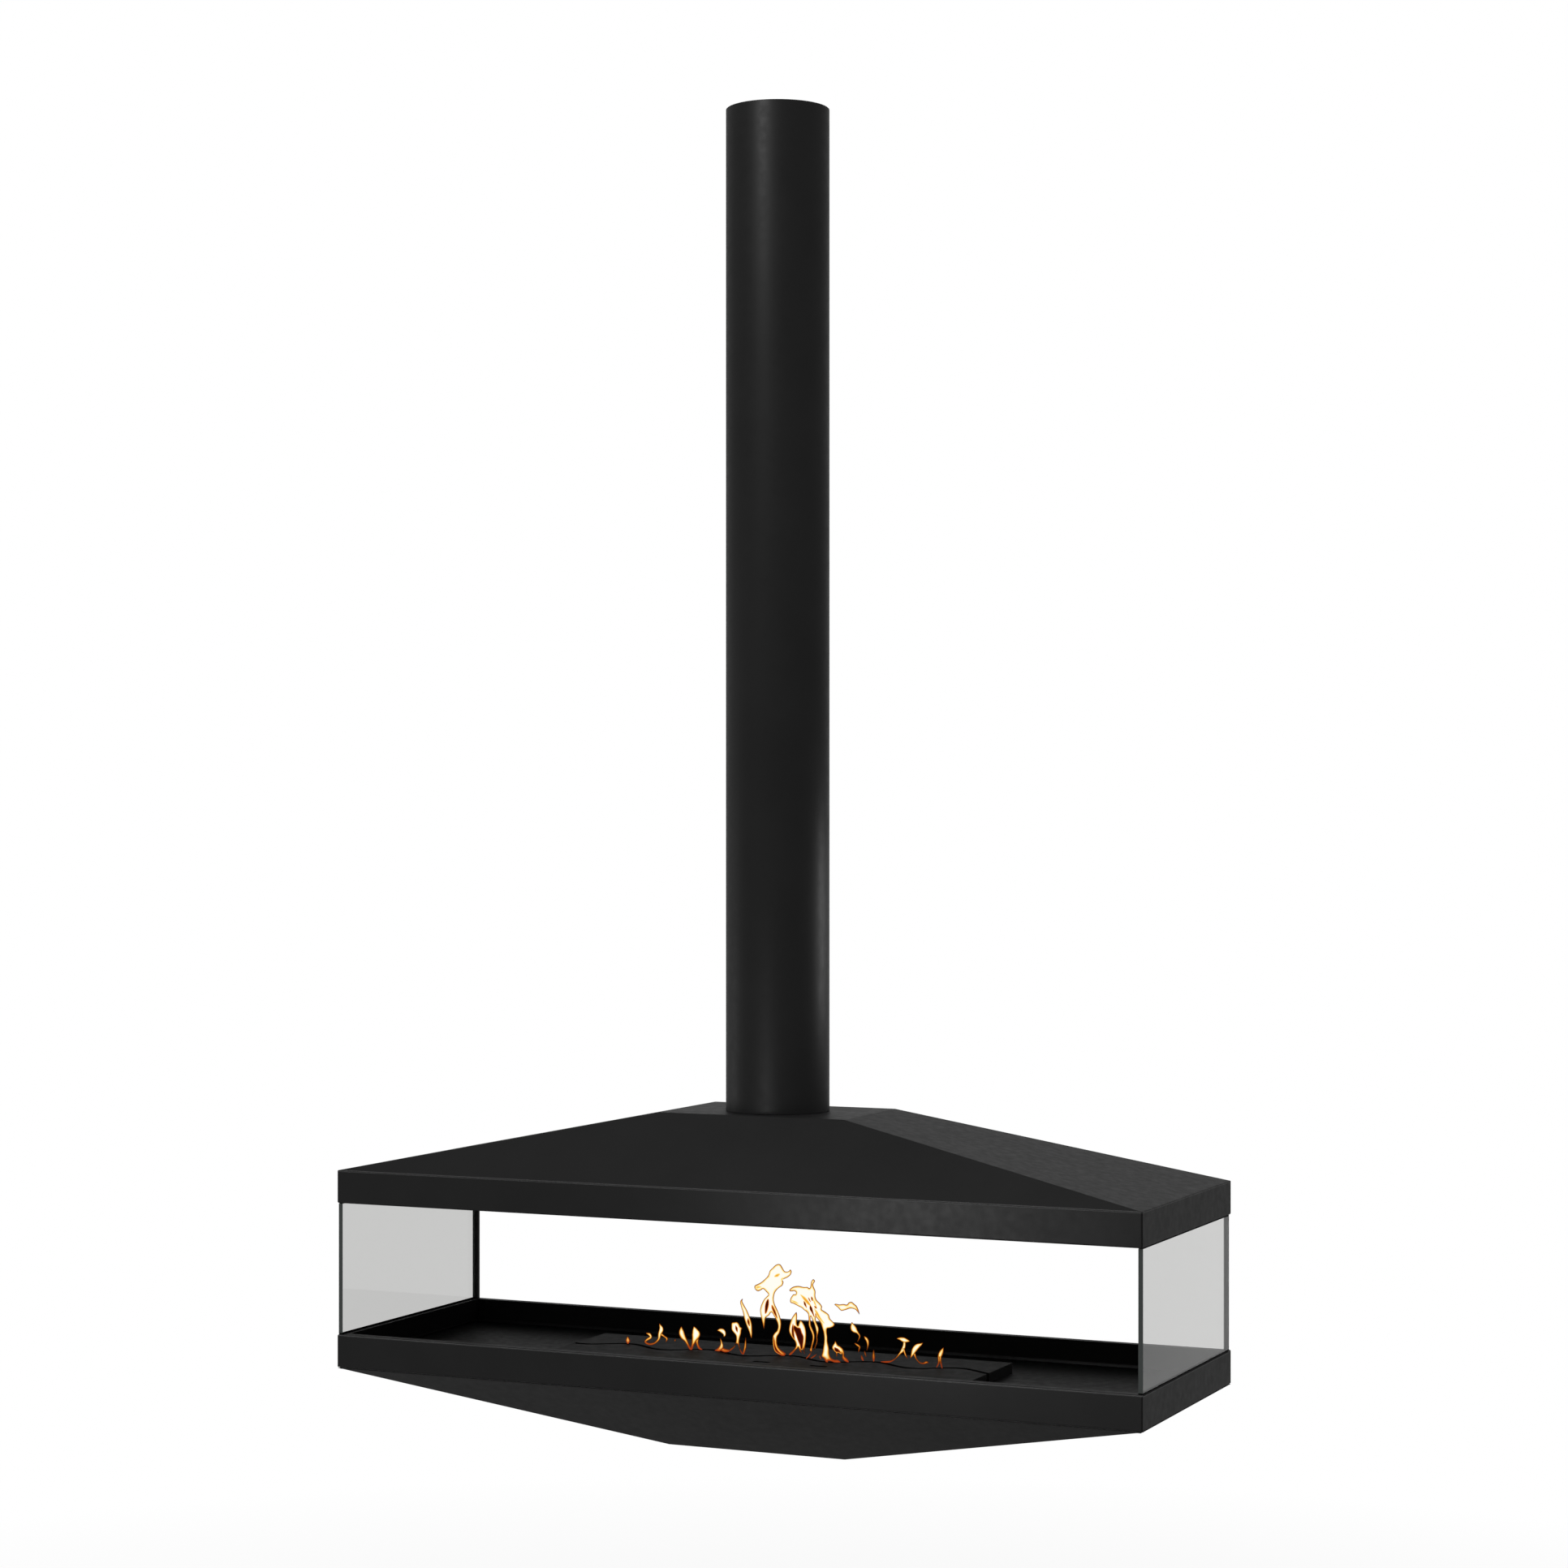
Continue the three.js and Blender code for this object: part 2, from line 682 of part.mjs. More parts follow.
// Base cover: inverted hip with an inward flange, its edge set back to leave the shadow gap
function baseCover() {
  const outer = loft([
    roundedRing(baseFlatLength / 2, baseFlatDepth / 2, bendRadius, baseFoot),
    roundedRing(halfLength, halfDepth, bendRadius, baseTop),
  ]);
  const rise = baseTop - baseFoot;
  const runX = halfLength - baseFlatLength / 2;
  const runY = halfDepth - baseFlatDepth / 2;
  const innerRing = (z) => roundedRing(
    baseFlatLength / 2 + runX * (z - baseFoot) / rise - slopeInset(runX, rise),
    baseFlatDepth / 2 + runY * (z - baseFoot) / rise - slopeInset(runY, rise),
    bendRadius,
    z,
  );
  const hollow = loft([innerRing(baseFoot + sheetWall), innerRing(baseFlangeUnder)]);
  const mouth = centredBlock(
    footFrameHalfX - footFrameWidth,
    footFrameHalfY - footFrameWidth,
    baseFlangeUnder - seatGap,
    trayFoot + overrun,
  );
  const step = centredBlock(
    halfLength - shadowGapDepth,
    halfDepth - shadowGapDepth,
    baseFlangeUnder,
    trayFoot - seatGap,
  );
  return cut(join(outer, step), [hollow, mouth, ...baseScrewHoles]);
}

function baseScrew([x, y]) {
  const headZ = footFrameTop + seatGap;
  return panScrew(baseScrewDiameter, x, y, headZ, headZ - baseFlangeUnder, -1);
}

// Burner plates: the slit between them runs the whole length as a wave
function waveAt(x) {
  const turns = ((x + burnerLength / 2) / burnerLength) * waveCount - wavePhaseShare;
  return slitOffset + waveHeight * Math.cos(turns * Math.PI * 2);
}

function waveEdge(offset) {
  const total = waveCount * waveSteps;
  return Array.from({ length: total + 1 }, (_, step) => {
    const x = burnerLength * (step / total - 0.5);
    return new THREE.Vector2(x, waveAt(x) + offset);
  });
}

function toolSlots() {
  return [-1, 1].map((sign) => {
    const x = toolSlotOffset + sign * toolSlotSpacing / 2;
    const y = -toolSlotSetback;
    return block(
      x - toolSlotLength / 2,
      x + toolSlotLength / 2,
      y - toolSlotWidth / 2,
      y + toolSlotWidth / 2,
      burnerUnder - overrun,
      burnerTop + overrun,
    );
  });
}

function burnerPlateSolid(sign) {
  const edge = waveEdge(sign * slitWidth / 2);
  const outerY = sign * burnerDepth / 2;
  const outline = new THREE.Shape([
    ...edge,
    new THREE.Vector2(burnerLength / 2, outerY),
    new THREE.Vector2(-burnerLength / 2, outerY),
  ]);
  const foot = floorTop + seatGap;
  const solid = new THREE.ExtrudeGeometry(outline, { depth: burnerTop - foot, bevelEnabled: false });
  solid.translate(0, 0, foot);
  const wallY = sign * (burnerDepth / 2 - burnerPlate);
  const farY = -wallY;
  const under = block(
    -burnerLength / 2 + burnerPlate,
    burnerLength / 2 - burnerPlate,
    Math.min(wallY, farY),
    Math.max(wallY, farY),
    foot - overrun,
    burnerUnder,
  );
  return cut(solid, sign < 0 ? [under, ...toolSlots()] : [under]);
}

// Fuel tank, an open box under a deck that has a row of flame ports
const deckUnder = floorTop + seatGap;
const deckTop = deckUnder + tankWall;
const registerUnder = deckTop + seatGap;
const registerTop = registerUnder + registerThickness;
const portReach = tankHalfX - tankWall - portEndMargin;
const portCount = Math.floor((portReach * 2 - portLength) / portPitch) + 1;
const portPlaces = Array.from({ length: portCount }, (_, step) => (
  (step - (portCount - 1) / 2) * portPitch
));

function ports(lowZ, highZ) {
  return portPlaces.map((x) => block(
    x - portLength / 2,
    x + portLength / 2,
    slitOffset - portDepth / 2,
    slitOffset + portDepth / 2,
    lowZ - overrun,
    highZ + overrun,
  ));
}

function tankDeck() {
  const deck = centredBlock(tankDeckHalfX, tankDeckHalfY, deckUnder, deckTop);
  return cut(deck, ports(deckUnder, deckTop));
}

const tankTop = deckUnder - seatGap;
const tankFoot = deckTop - tankDepth;
const tankBottom = tankFoot + tankWall;

function fuelTank() {
  const hollow = centredBlock(tankHalfX - tankWall, tankHalfY - tankWall, tankBottom, tankTop + overrun);
  return cut(centredBlock(tankHalfX, tankHalfY, tankFoot, tankTop), [hollow]);
}

function wick() {
  const foot = tankBottom + seatGap;
  const halfX = tankHalfX - tankWall - wickEndMargin;
  return bar(0, slitOffset, halfX, wickDepth / 2, bendRadius, foot, foot + wickHeight);
}

// Register slide: ports to match the tank's, and two lugs under the tool slots
const registerHalfX = tankHalfX - registerEndGap;
const registerFrontY = -toolSlotSetback - registerEdge;
const registerRearY = slitOffset + portDepth / 2 + registerEdge;

function registerSlide() {
  const plate = block(
    -registerHalfX,
    registerHalfX,
    registerFrontY,
    registerRearY,
    registerUnder,
    registerTop,
  );
  const lugs = [-1, 1].map((sign) => {
    const x = toolSlotOffset + sign * toolSlotSpacing / 2 - registerTravel / 2;
    return block(
      x - lugWidth / 2,
      x + lugWidth / 2,
      -toolSlotSetback - lugThickness / 2,
      -toolSlotSetback + lugThickness / 2,
      registerUnder,
      burnerUnder - lugClearance,
    );
  });
  return cut(join(plate, ...lugs), ports(registerUnder, registerTop));
}

// A guide rail stands on the deck and its ledge laps over the slide's edge
function guideRail(sign) {
  const edge = sign < 0 ? registerFrontY : registerRearY;
  const inner = edge + sign * seatGap;
  const outer = inner + sign * railWidth;
  const ledge = edge - sign * railLedge;
  const low = deckTop + seatGap;
  const upright = block(
    -registerHalfX,
    registerHalfX,
    Math.min(inner, outer),
    Math.max(inner, outer),
    low,
    low + railHeight,
  );
  const lip = block(
    -registerHalfX,
    registerHalfX,
    Math.min(ledge, outer),
    Math.max(ledge, outer),
    registerTop + seatGap,
    low + railHeight,
  );
  return join(upright, lip);
}

// Assembly
addPiece('ceiling_plate', ceilingPlate(), zincSteel);
addPiece('bracket_collar', bracketCollar(), zincSteel);
addCopies('tube_set_screw', setScrewAngles, setScrew, blackCoat);
addPiece('suspension_tube', suspensionTube(), blackCoat);
addPiece('tube_foot_ring', footRing(), zincSteel);
addPiece('spreader_plate', spreaderPlate(), zincSteel);
addCopies('hanging_bolt', hangingBoltPlaces, hangingBolt, zincSteel);

addPiece('hood_band', hoodBand(), blackCoat);
addPiece('hood_roof', hoodRoof(), blackCoat);
addPiece('hood_rim', hoodRim(), blackCoat);
addPiece('heat_shield', heatShield(), heatBlack);
addCopies('shield_screw', shieldScrewPlaces, shieldScrew, zincSteel);

sides.forEach(([side, sign]) => {
  addPiece(`hood_stay_${side}`, stay(sign), zincSteel);
  addPiece(`stay_bolt_${side}`, stayBolt(sign), zincSteel);
  addPiece(`stay_foot_bolt_${side}`, stayFootBolt(sign), zincSteel);
  addPiece(`end_pane_${side}`, pane(sign), smokedGlass);
  addPiece(`pane_head_seal_${side}`, seal(sign, paneHead + seatGap, headSealHeight), blackSilicone);
  addPiece(`pane_foot_seal_${side}`, seal(sign, trayTop - footSealHeight, footSealHeight), blackSilicone);
  addPiece(`rear_post_${side}`, rearPost(sign), blackCoat);
  addPiece(`post_head_screw_${side}`, postHeadScrew(sign), zincSteel);
  addPiece(`post_foot_screw_${side}`, postFootScrew(sign), zincSteel);
});

addPiece('tray_shell', trayShell(), blackCoat);
addPiece('floor_plate', floorPlate(), blackCoat);
addPiece('foot_frame', footFrame(), blackCoat);
addPiece('base_cover', baseCover(), blackCoat);
addCopies('base_screw', baseScrewPlaces, baseScrew, zincSteel);

addPiece('fuel_tank', fuelTank(), stainless);
addPiece('tank_deck', tankDeck(), stainless);
addPiece('wick', wick(), ceramicWool);
addPiece('register_slide', registerSlide(), stainless);
addPiece('guide_rail_front', guideRail(-1), stainless);
addPiece('guide_rail_rear', guideRail(1), stainless);
addPiece('burner_plate_front', burnerPlateSolid(-1), blackCoat);
addPiece('burner_plate_rear', burnerPlateSolid(1), blackCoat);

export default fireplace;
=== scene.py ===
"""Looks of the hanging fireplace: finishes, flames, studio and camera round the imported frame.

Metres, +Z up, X along the body, the camera in front on the -Y side. The origin is the centre of the
ceiling plate's top face. Lengths of the object are named in millimetres and turned to metres where used.
The flame tables are in pixels of the photograph, where they were read, and on_slit turns them to places.
"""

import math

import bpy
import numpy as np
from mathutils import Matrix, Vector
from mathutils.geometry import delaunay_2d_cdt


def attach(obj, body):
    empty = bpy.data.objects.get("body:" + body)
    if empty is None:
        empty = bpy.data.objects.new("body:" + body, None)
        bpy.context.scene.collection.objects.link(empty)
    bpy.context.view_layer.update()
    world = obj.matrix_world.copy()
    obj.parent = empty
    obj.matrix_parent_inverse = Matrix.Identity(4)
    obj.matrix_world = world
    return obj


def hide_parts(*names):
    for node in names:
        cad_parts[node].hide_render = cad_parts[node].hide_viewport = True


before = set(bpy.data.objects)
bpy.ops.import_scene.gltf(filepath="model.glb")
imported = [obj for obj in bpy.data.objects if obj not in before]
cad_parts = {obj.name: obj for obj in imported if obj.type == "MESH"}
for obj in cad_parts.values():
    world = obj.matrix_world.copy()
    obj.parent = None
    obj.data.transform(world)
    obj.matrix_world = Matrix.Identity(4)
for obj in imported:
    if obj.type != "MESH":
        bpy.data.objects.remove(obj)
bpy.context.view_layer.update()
MM = 0.001


def linear(colour):
    """sRGB hex colour as linear RGBA."""
    parts = [int(colour[i:i + 2], 16) / 255 for i in (1, 3, 5)]
    return (*[p / 12.92 if p <= 0.04045 else ((p + 0.055) / 1.055) ** 2.4 for p in parts], 1.0)


def add(tree, kind, inputs=None, **settings):
    """Adds a node. Inputs are values, or sockets or nodes to link from, a node by its first output."""
    node = tree.nodes.new(kind)
    for name, value in settings.items():
        setattr(node, name, value)
    for name, value in (inputs or {}).items():
        if isinstance(value, bpy.types.Node):
            value = value.outputs[0]
        if isinstance(value, bpy.types.NodeSocket):
            tree.links.new(value, node.inputs[name])
        else:
            node.inputs[name].default_value = value
    return node


def empty_tree(owner):
    """Gives a material or world an empty node tree."""
    owner.use_nodes = True
    owner.node_tree.nodes.clear()
    return owner.node_tree


# Lengths of the real object that the finishes and flames follow, in millimetres
BURNER_TOP = -2191.0
BURNER_LENGTH = 795.0
SLIT_OFFSET = 3.0
SLIT_WIDTH = 5.0
WAVE_HEIGHT = 17.0
WAVE_COUNT = 5
WAVE_PHASE = 0.61
TOOL_SLOT_MIDDLE = 50.0
TOOL_SLOT_SPACING = 108.0
TOOL_SLOT_SETBACK = 60.0
TOOL_SLOT_LENGTH = 24.0
TOOL_SLOT_WIDTH = 3.0
INSIDE_X = 732.5
INSIDE_Y = 230.0
SEAL_LIP = -2162.4
PANE_MIDDLE = -4.9
PANE_GROUND = 237.4
TUBE_OUTER = 91.0
TUBE_INNER = 88.0
TUBE_TOP = -0.5
TUBE_FOOT = -1757.7
TUBE_EDGE = 0.4
SET_SCREW_Z = -30.0
SET_SCREW_HOLE_RADIUS = 4.3
SET_SCREW_ANGLES = (30, 90, 150)

# The camera fitted to the photograph, which is PHOTO pixels square: level, and turned CAMERA_TURN degrees
PHOTO = 1932
FOCAL = 4035.8
PRINCIPAL = (966.2, 1004.6)
CAMERA_TURN = 24.23
CAMERA_PLACE = (2.3723, -5.2437, -1.2395)
SENSOR = 36.0
EYE = np.array(CAMERA_PLACE) / MM
SIDEWAYS = np.array([math.cos(math.radians(CAMERA_TURN)), math.sin(math.radians(CAMERA_TURN)), 0])
AHEAD = np.array([-math.sin(math.radians(CAMERA_TURN)), math.cos(math.radians(CAMERA_TURN)), 0])
UPWARD = np.array([0, 0, 1])
SETTLING_STEPS = 30


def slit_wave(x):
    """Y of the slit's middle at x, in mm: offset + height * cos(2 pi * turns), turns along the burner."""
    turns = (x + BURNER_LENGTH / 2) / BURNER_LENGTH * WAVE_COUNT - WAVE_PHASE
    return SLIT_OFFSET + WAVE_HEIGHT * np.cos(2 * np.pi * turns)


def on_slit(x, y):
    """Points over the slit, in mm, that photograph pixels x, y look at.

    The ray through each pixel, EYE + t * (AHEAD + side * SIDEWAYS + rise * UPWARD), meets the upright
    surface Y = slit_wave(X). Each step takes Y from the X found before, and SETTLING_STEPS settle it.
    """
    side = np.asarray(x - PRINCIPAL[0]) / FOCAL
    rise = np.asarray(PRINCIPAL[1] - y) / FOCAL
    ray = side[..., None] * SIDEWAYS + AHEAD + rise[..., None] * UPWARD
    depth = np.full(side.shape, SLIT_OFFSET)
    for _ in range(SETTLING_STEPS):
        point = EYE + ray * ((depth - EYE[1]) / ray[..., 1])[..., None]
        depth = slit_wave(point[..., 0])
    return point


def pixel_length(x, y):
    """Length in mm over the slit that one photograph pixel covers at x, y."""
    return (on_slit(x, y) - EYE) @ AHEAD / FOCAL


# Finishes: the two values between which a noise texture mostly stays, and the size of a smear in mm
NOISE_LOW = 0.3
NOISE_HIGH = 0.7
SMEAR_SIZE = 14.0

# Sockets of a Mix node that mixes colours
COLOUR_A = 6
COLOUR_B = 7
COLOUR_MIXED = 2

# Paler folds, partly wear and partly a painted highlight: the upward part of their rounded normal with its
# spread, the agreement of that normal with the face's below which a place counts as a fold, and their colour
FOLD_UPWARD = 0.4
FOLD_SPREAD = 0.25
FOLD_AGREEMENT = 0.99
FOLD_WEAR_AND_HIGHLIGHT = "#585858"

# Matt near-black of soot and painted shade, then its margin and fade along the slit, in millimetres
SOOT_AND_SHADE_BLACK = "#0c0c0c"
SLIT_SOOT_AND_SHADE_MARGIN = 3.0
SLIT_SOOT_AND_SHADE_FADE = 1.5

# Soot on the shield: its reach along X and Y and the size of its ragged patches in mm. In multiples of the
# reach: how far the patches draw it in, and where the black is full and gone and the heat bloom is gone. The
# shares are the most that each covers
SHIELD_SOOT = (420.0, 130.0)
SHIELD_RAGGED = 70.0
SHIELD_PULL = 0.9
BLACK_FULL = 0.7
BLACK_GONE = 1.5
BLACK_SHARE = 0.8
BLOOM_GONE = 2.3
BLOOM_SHARE = 0.35
SHIELD_BLACK = "#0b0a09"
SHIELD_BLOOM = "#4a4037"

# Glass: sizes of the wiping smears and roller waves and the height of the waves in mm, the share by which Z
# counts, which makes both of them tall, the noise at which a smear starts and is full, and the roughness of
# clean and of smeared glass
WIPE_SIZE = 60.0
WIPE_STRETCH = 0.25
SMEAR_START = 0.45
SMEAR_FULL = 0.75
CLEAN_ROUGHNESS = 0.01
SMEARED_ROUGHNESS = 0.06
ROLLER_SIZE = 180.0
ROLLER_HEIGHT = 0.05
GLASS_IOR = 1.17
GLASS_TINT = "#c6c6c5"
GROUND_GREY = "#3c3f3e"
SEAL_BLACK = "#040404"


def finish(name, colour, roughness, spread, metallic=0.0, specular=0.5, patch=120, patch_share=0.06,
           grain=(), drawn=(1, 1, 1), round_edges=0.0, tint=None, soot_and_shade=None):
    """A finish worked out on object coordinates.

    colour varies by patch_share over patches of patch mm, roughness by spread over SMEAR_SIZE mm. grain
    is a list of (size, height) bumps in mm, drawn stretches them as brushing does, round_edges is the
    radius in mm that softens sheet edges and finds the folds that get paler paint, partly wear and partly a
    painted highlight, tint(tree, place, colour) may change the colour, and the last argument, called with
    (tree, place), gives the share of matt near-black, soot and painted shade, that covers the finish.
    """
    material = bpy.data.materials.new(name)
    tree = empty_tree(material)
    place = add(tree, "ShaderNodeTexCoord").outputs["Object"]
    clouds = add(tree, "ShaderNodeTexNoise", {"Vector": place, "Scale": 1 / (patch * MM), "Detail": 4.0})
    shade = add(tree, "ShaderNodeMapRange", {
        "Value": clouds, "From Min": NOISE_LOW, "From Max": NOISE_HIGH,
        "To Min": 1 - patch_share, "To Max": 1 + patch_share})
    painted = add(tree, "ShaderNodeVectorMath", {0: linear(colour)[:3], "Scale": shade}, operation="SCALE")
    if tint:
        painted = tint(tree, place, painted)
    normal = None
    # Rounded sheet edges, and paler paint along upward folds: partly wear, partly a painted highlight
    if round_edges:
        normal = add(tree, "ShaderNodeBevel", {"Radius": round_edges * MM}, samples=4)
        painted = fold_wear_and_highlight(tree, normal, painted)

    stretched = add(tree, "ShaderNodeMapping", {"Vector": place, "Scale": drawn})
    smears = add(tree, "ShaderNodeTexNoise", {
        "Vector": stretched, "Scale": 1 / (SMEAR_SIZE * MM), "Detail": 3.0})
    rough = add(tree, "ShaderNodeMapRange", {
        "Value": smears, "From Min": NOISE_LOW, "From Max": NOISE_HIGH,
        "To Min": roughness - spread, "To Max": roughness + spread})
    for size, height in grain:
        noise = add(tree, "ShaderNodeTexNoise", {
            "Vector": stretched, "Scale": 1 / (size * MM), "Detail": 2.0})
        bump = {"Height": noise, "Distance": height * MM, "Strength": 1.0}
        if normal is not None:
            bump["Normal"] = normal
        normal = add(tree, "ShaderNodeBump", bump)

    surface = {
        "Base Color": painted, "Roughness": rough, "Metallic": metallic, "Specular IOR Level": specular}
    if normal is not None:
        surface["Normal"] = normal
    shader = add(tree, "ShaderNodeBsdfPrincipled", surface)
    # Matt near-black over the finish: soot along the burner's slit, flat black paint inside the tray, and
    # painted shade at both
    if soot_and_shade:
        matt = add(tree, "ShaderNodeBsdfDiffuse", {"Color": linear(SOOT_AND_SHADE_BLACK)})
        shader = add(tree, "ShaderNodeMixShader", {0: soot_and_shade(tree, place), 1: shader, 2: matt})
    add(tree, "ShaderNodeOutputMaterial", {"Surface": shader})
    return material


def fold_wear_and_highlight(tree, rounded, painted):
    """Paler paint along the folds that face half upwards, where sheet meets sheet: partly rubbed wear, and
    partly a painted highlight where the fold catches the light.

    A fold is where the rounded normal turns away from the face's own.
    """
    face = add(tree, "ShaderNodeNewGeometry").outputs["Normal"]
    product = add(tree, "ShaderNodeVectorMath", {0: rounded, 1: face}, operation="DOT_PRODUCT")
    upward = add(tree, "ShaderNodeSeparateXYZ", {"Vector": rounded}).outputs["Z"]
    tilted = add(tree, "ShaderNodeMath", {0: upward, 1: FOLD_UPWARD, 2: FOLD_SPREAD}, operation="COMPARE")
    bent = add(tree, "ShaderNodeMath", {
        0: product.outputs["Value"], 1: FOLD_AGREEMENT}, operation="LESS_THAN")
    fold = add(tree, "ShaderNodeMath", {0: tilted, 1: bent}, operation="MULTIPLY")
    mixed = add(tree, "ShaderNodeMix", {
        0: fold, COLOUR_A: painted, COLOUR_B: linear(FOLD_WEAR_AND_HIGHLIGHT)}, data_type="RGBA")
    return mixed.outputs[COLOUR_MIXED]


def slit_soot_and_shade(tree, place):
    """The burner plates: a dark margin along both edges of the slit, soot and painted shade, and round the
    two tool slots, painted shade. Its width and fade are set above.

    From the slit: abs(Y - slit_wave(X)) - SLIT_WIDTH / 2. From the slots, which mirror each other about
    TOOL_SLOT_MIDDLE: the larger of the ways past a slot's end and past its side.
    """
    axes = add(tree, "ShaderNodeSeparateXYZ", {"Vector": place}).outputs
    all_waves = 2 * math.pi * WAVE_COUNT
    angle = add(tree, "ShaderNodeMath", {
        0: axes["X"], 1: all_waves / (BURNER_LENGTH * MM), 2: all_waves / 2 - 2 * math.pi * WAVE_PHASE},
        operation="MULTIPLY_ADD")
    swing = add(tree, "ShaderNodeMath", {0: angle}, operation="COSINE")
    wave = add(tree, "ShaderNodeMath", {
        0: swing, 1: WAVE_HEIGHT * MM, 2: SLIT_OFFSET * MM}, operation="MULTIPLY_ADD")
    aside = add(tree, "ShaderNodeMath", {0: axes["Y"], 1: wave}, operation="SUBTRACT")
    aside = add(tree, "ShaderNodeMath", {0: aside}, operation="ABSOLUTE")
    from_slit = add(tree, "ShaderNodeMath", {0: aside, 1: SLIT_WIDTH / 2 * MM}, operation="SUBTRACT")

    along = add(tree, "ShaderNodeMath", {0: axes["X"], 1: TOOL_SLOT_MIDDLE * MM}, operation="SUBTRACT")
    along = add(tree, "ShaderNodeMath", {0: along}, operation="ABSOLUTE")
    along = add(tree, "ShaderNodeMath", {0: along, 1: TOOL_SLOT_SPACING / 2 * MM}, operation="SUBTRACT")
    along = add(tree, "ShaderNodeMath", {0: along}, operation="ABSOLUTE")
    along = add(tree, "ShaderNodeMath", {0: along, 1: TOOL_SLOT_LENGTH / 2 * MM}, operation="SUBTRACT")
    across = add(tree, "ShaderNodeMath", {0: axes["Y"], 1: TOOL_SLOT_SETBACK * MM}, operation="ADD")
    across = add(tree, "ShaderNodeMath", {0: across}, operation="ABSOLUTE")
    across = add(tree, "ShaderNodeMath", {0: across, 1: TOOL_SLOT_WIDTH / 2 * MM}, operation="SUBTRACT")
    from_slots = add(tree, "ShaderNodeMath", {0: along, 1: across}, operation="MAXIMUM")

    away = add(tree, "ShaderNodeMath", {0: from_slit, 1: from_slots}, operation="MINIMUM")
    return add(tree, "ShaderNodeMapRange", {
        "Value": away, "From Min": SLIT_SOOT_AND_SHADE_MARGIN * MM, "From Max": (SLIT_SOOT_AND_SHADE_MARGIN + SLIT_SOOT_AND_SHADE_FADE) * MM,
        "To Min": 1.0, "To Max": 0.0})


def inside_paint_and_shade(tree, place):
    """The tray: matt near-black on its inner skirt and corners, flat black paint darkened as painted shade
    under the hood, and the coat's own colour on band and rim.

    It is near-black where both INSIDE_X - abs(X) and INSIDE_Y - abs(Y) are above 0.
    """
    axes = add(tree, "ShaderNodeSeparateXYZ", {"Vector": place}).outputs
    rooms = []
    for axis, inside_half in (("X", INSIDE_X), ("Y", INSIDE_Y)):
        out = add(tree, "ShaderNodeMath", {0: axes[axis]}, operation="ABSOLUTE")
        rooms.append(add(tree, "ShaderNodeMath", {0: inside_half * MM, 1: out}, operation="SUBTRACT"))
    room = add(tree, "ShaderNodeMath", {0: rooms[0], 1: rooms[1]}, operation="MINIMUM")
    return add(tree, "ShaderNodeMath", {0: room, 1: 0.0}, operation="GREATER_THAN")


def shield_soot(tree, place, painted):
    """The shield over the flames: soot over the burner, and a paler heat bloom round it.

    The distance from the middle counts SHIELD_SOOT millimetres along X and Y as 1. Noise makes it ragged.
    """
    squeeze = (*[1 / (reach * MM) for reach in SHIELD_SOOT], 0)
    spot = add(tree, "ShaderNodeVectorMath", {0: place, 1: squeeze}, operation="MULTIPLY")
    away = add(tree, "ShaderNodeVectorMath", {0: spot}, operation="LENGTH").outputs["Value"]
    ragged = add(tree, "ShaderNodeTexNoise", {
        "Vector": place, "Scale": 1 / (SHIELD_RAGGED * MM), "Detail": 5.0})
    reach = add(tree, "ShaderNodeMath", {0: ragged, 1: SHIELD_PULL, 2: away}, operation="MULTIPLY_ADD")
    bloom = add(tree, "ShaderNodeMapRange", {
        "Value": reach, "From Min": BLOOM_GONE, "From Max": BLACK_GONE, "To Min": 0.0, "To Max": BLOOM_SHARE})
    black = add(tree, "ShaderNodeMapRange", {
        "Value": reach, "From Min": BLACK_FULL, "From Max": BLACK_GONE, "To Min": BLACK_SHARE, "To Max": 0.0})
    for share, colour in ((bloom, SHIELD_BLOOM), (black, SHIELD_BLACK)):
        painted = add(tree, "ShaderNodeMix", {0: share, COLOUR_A: painted, COLOUR_B: linear(colour)},
                      data_type="RGBA").outputs[COLOUR_MIXED]
    return painted


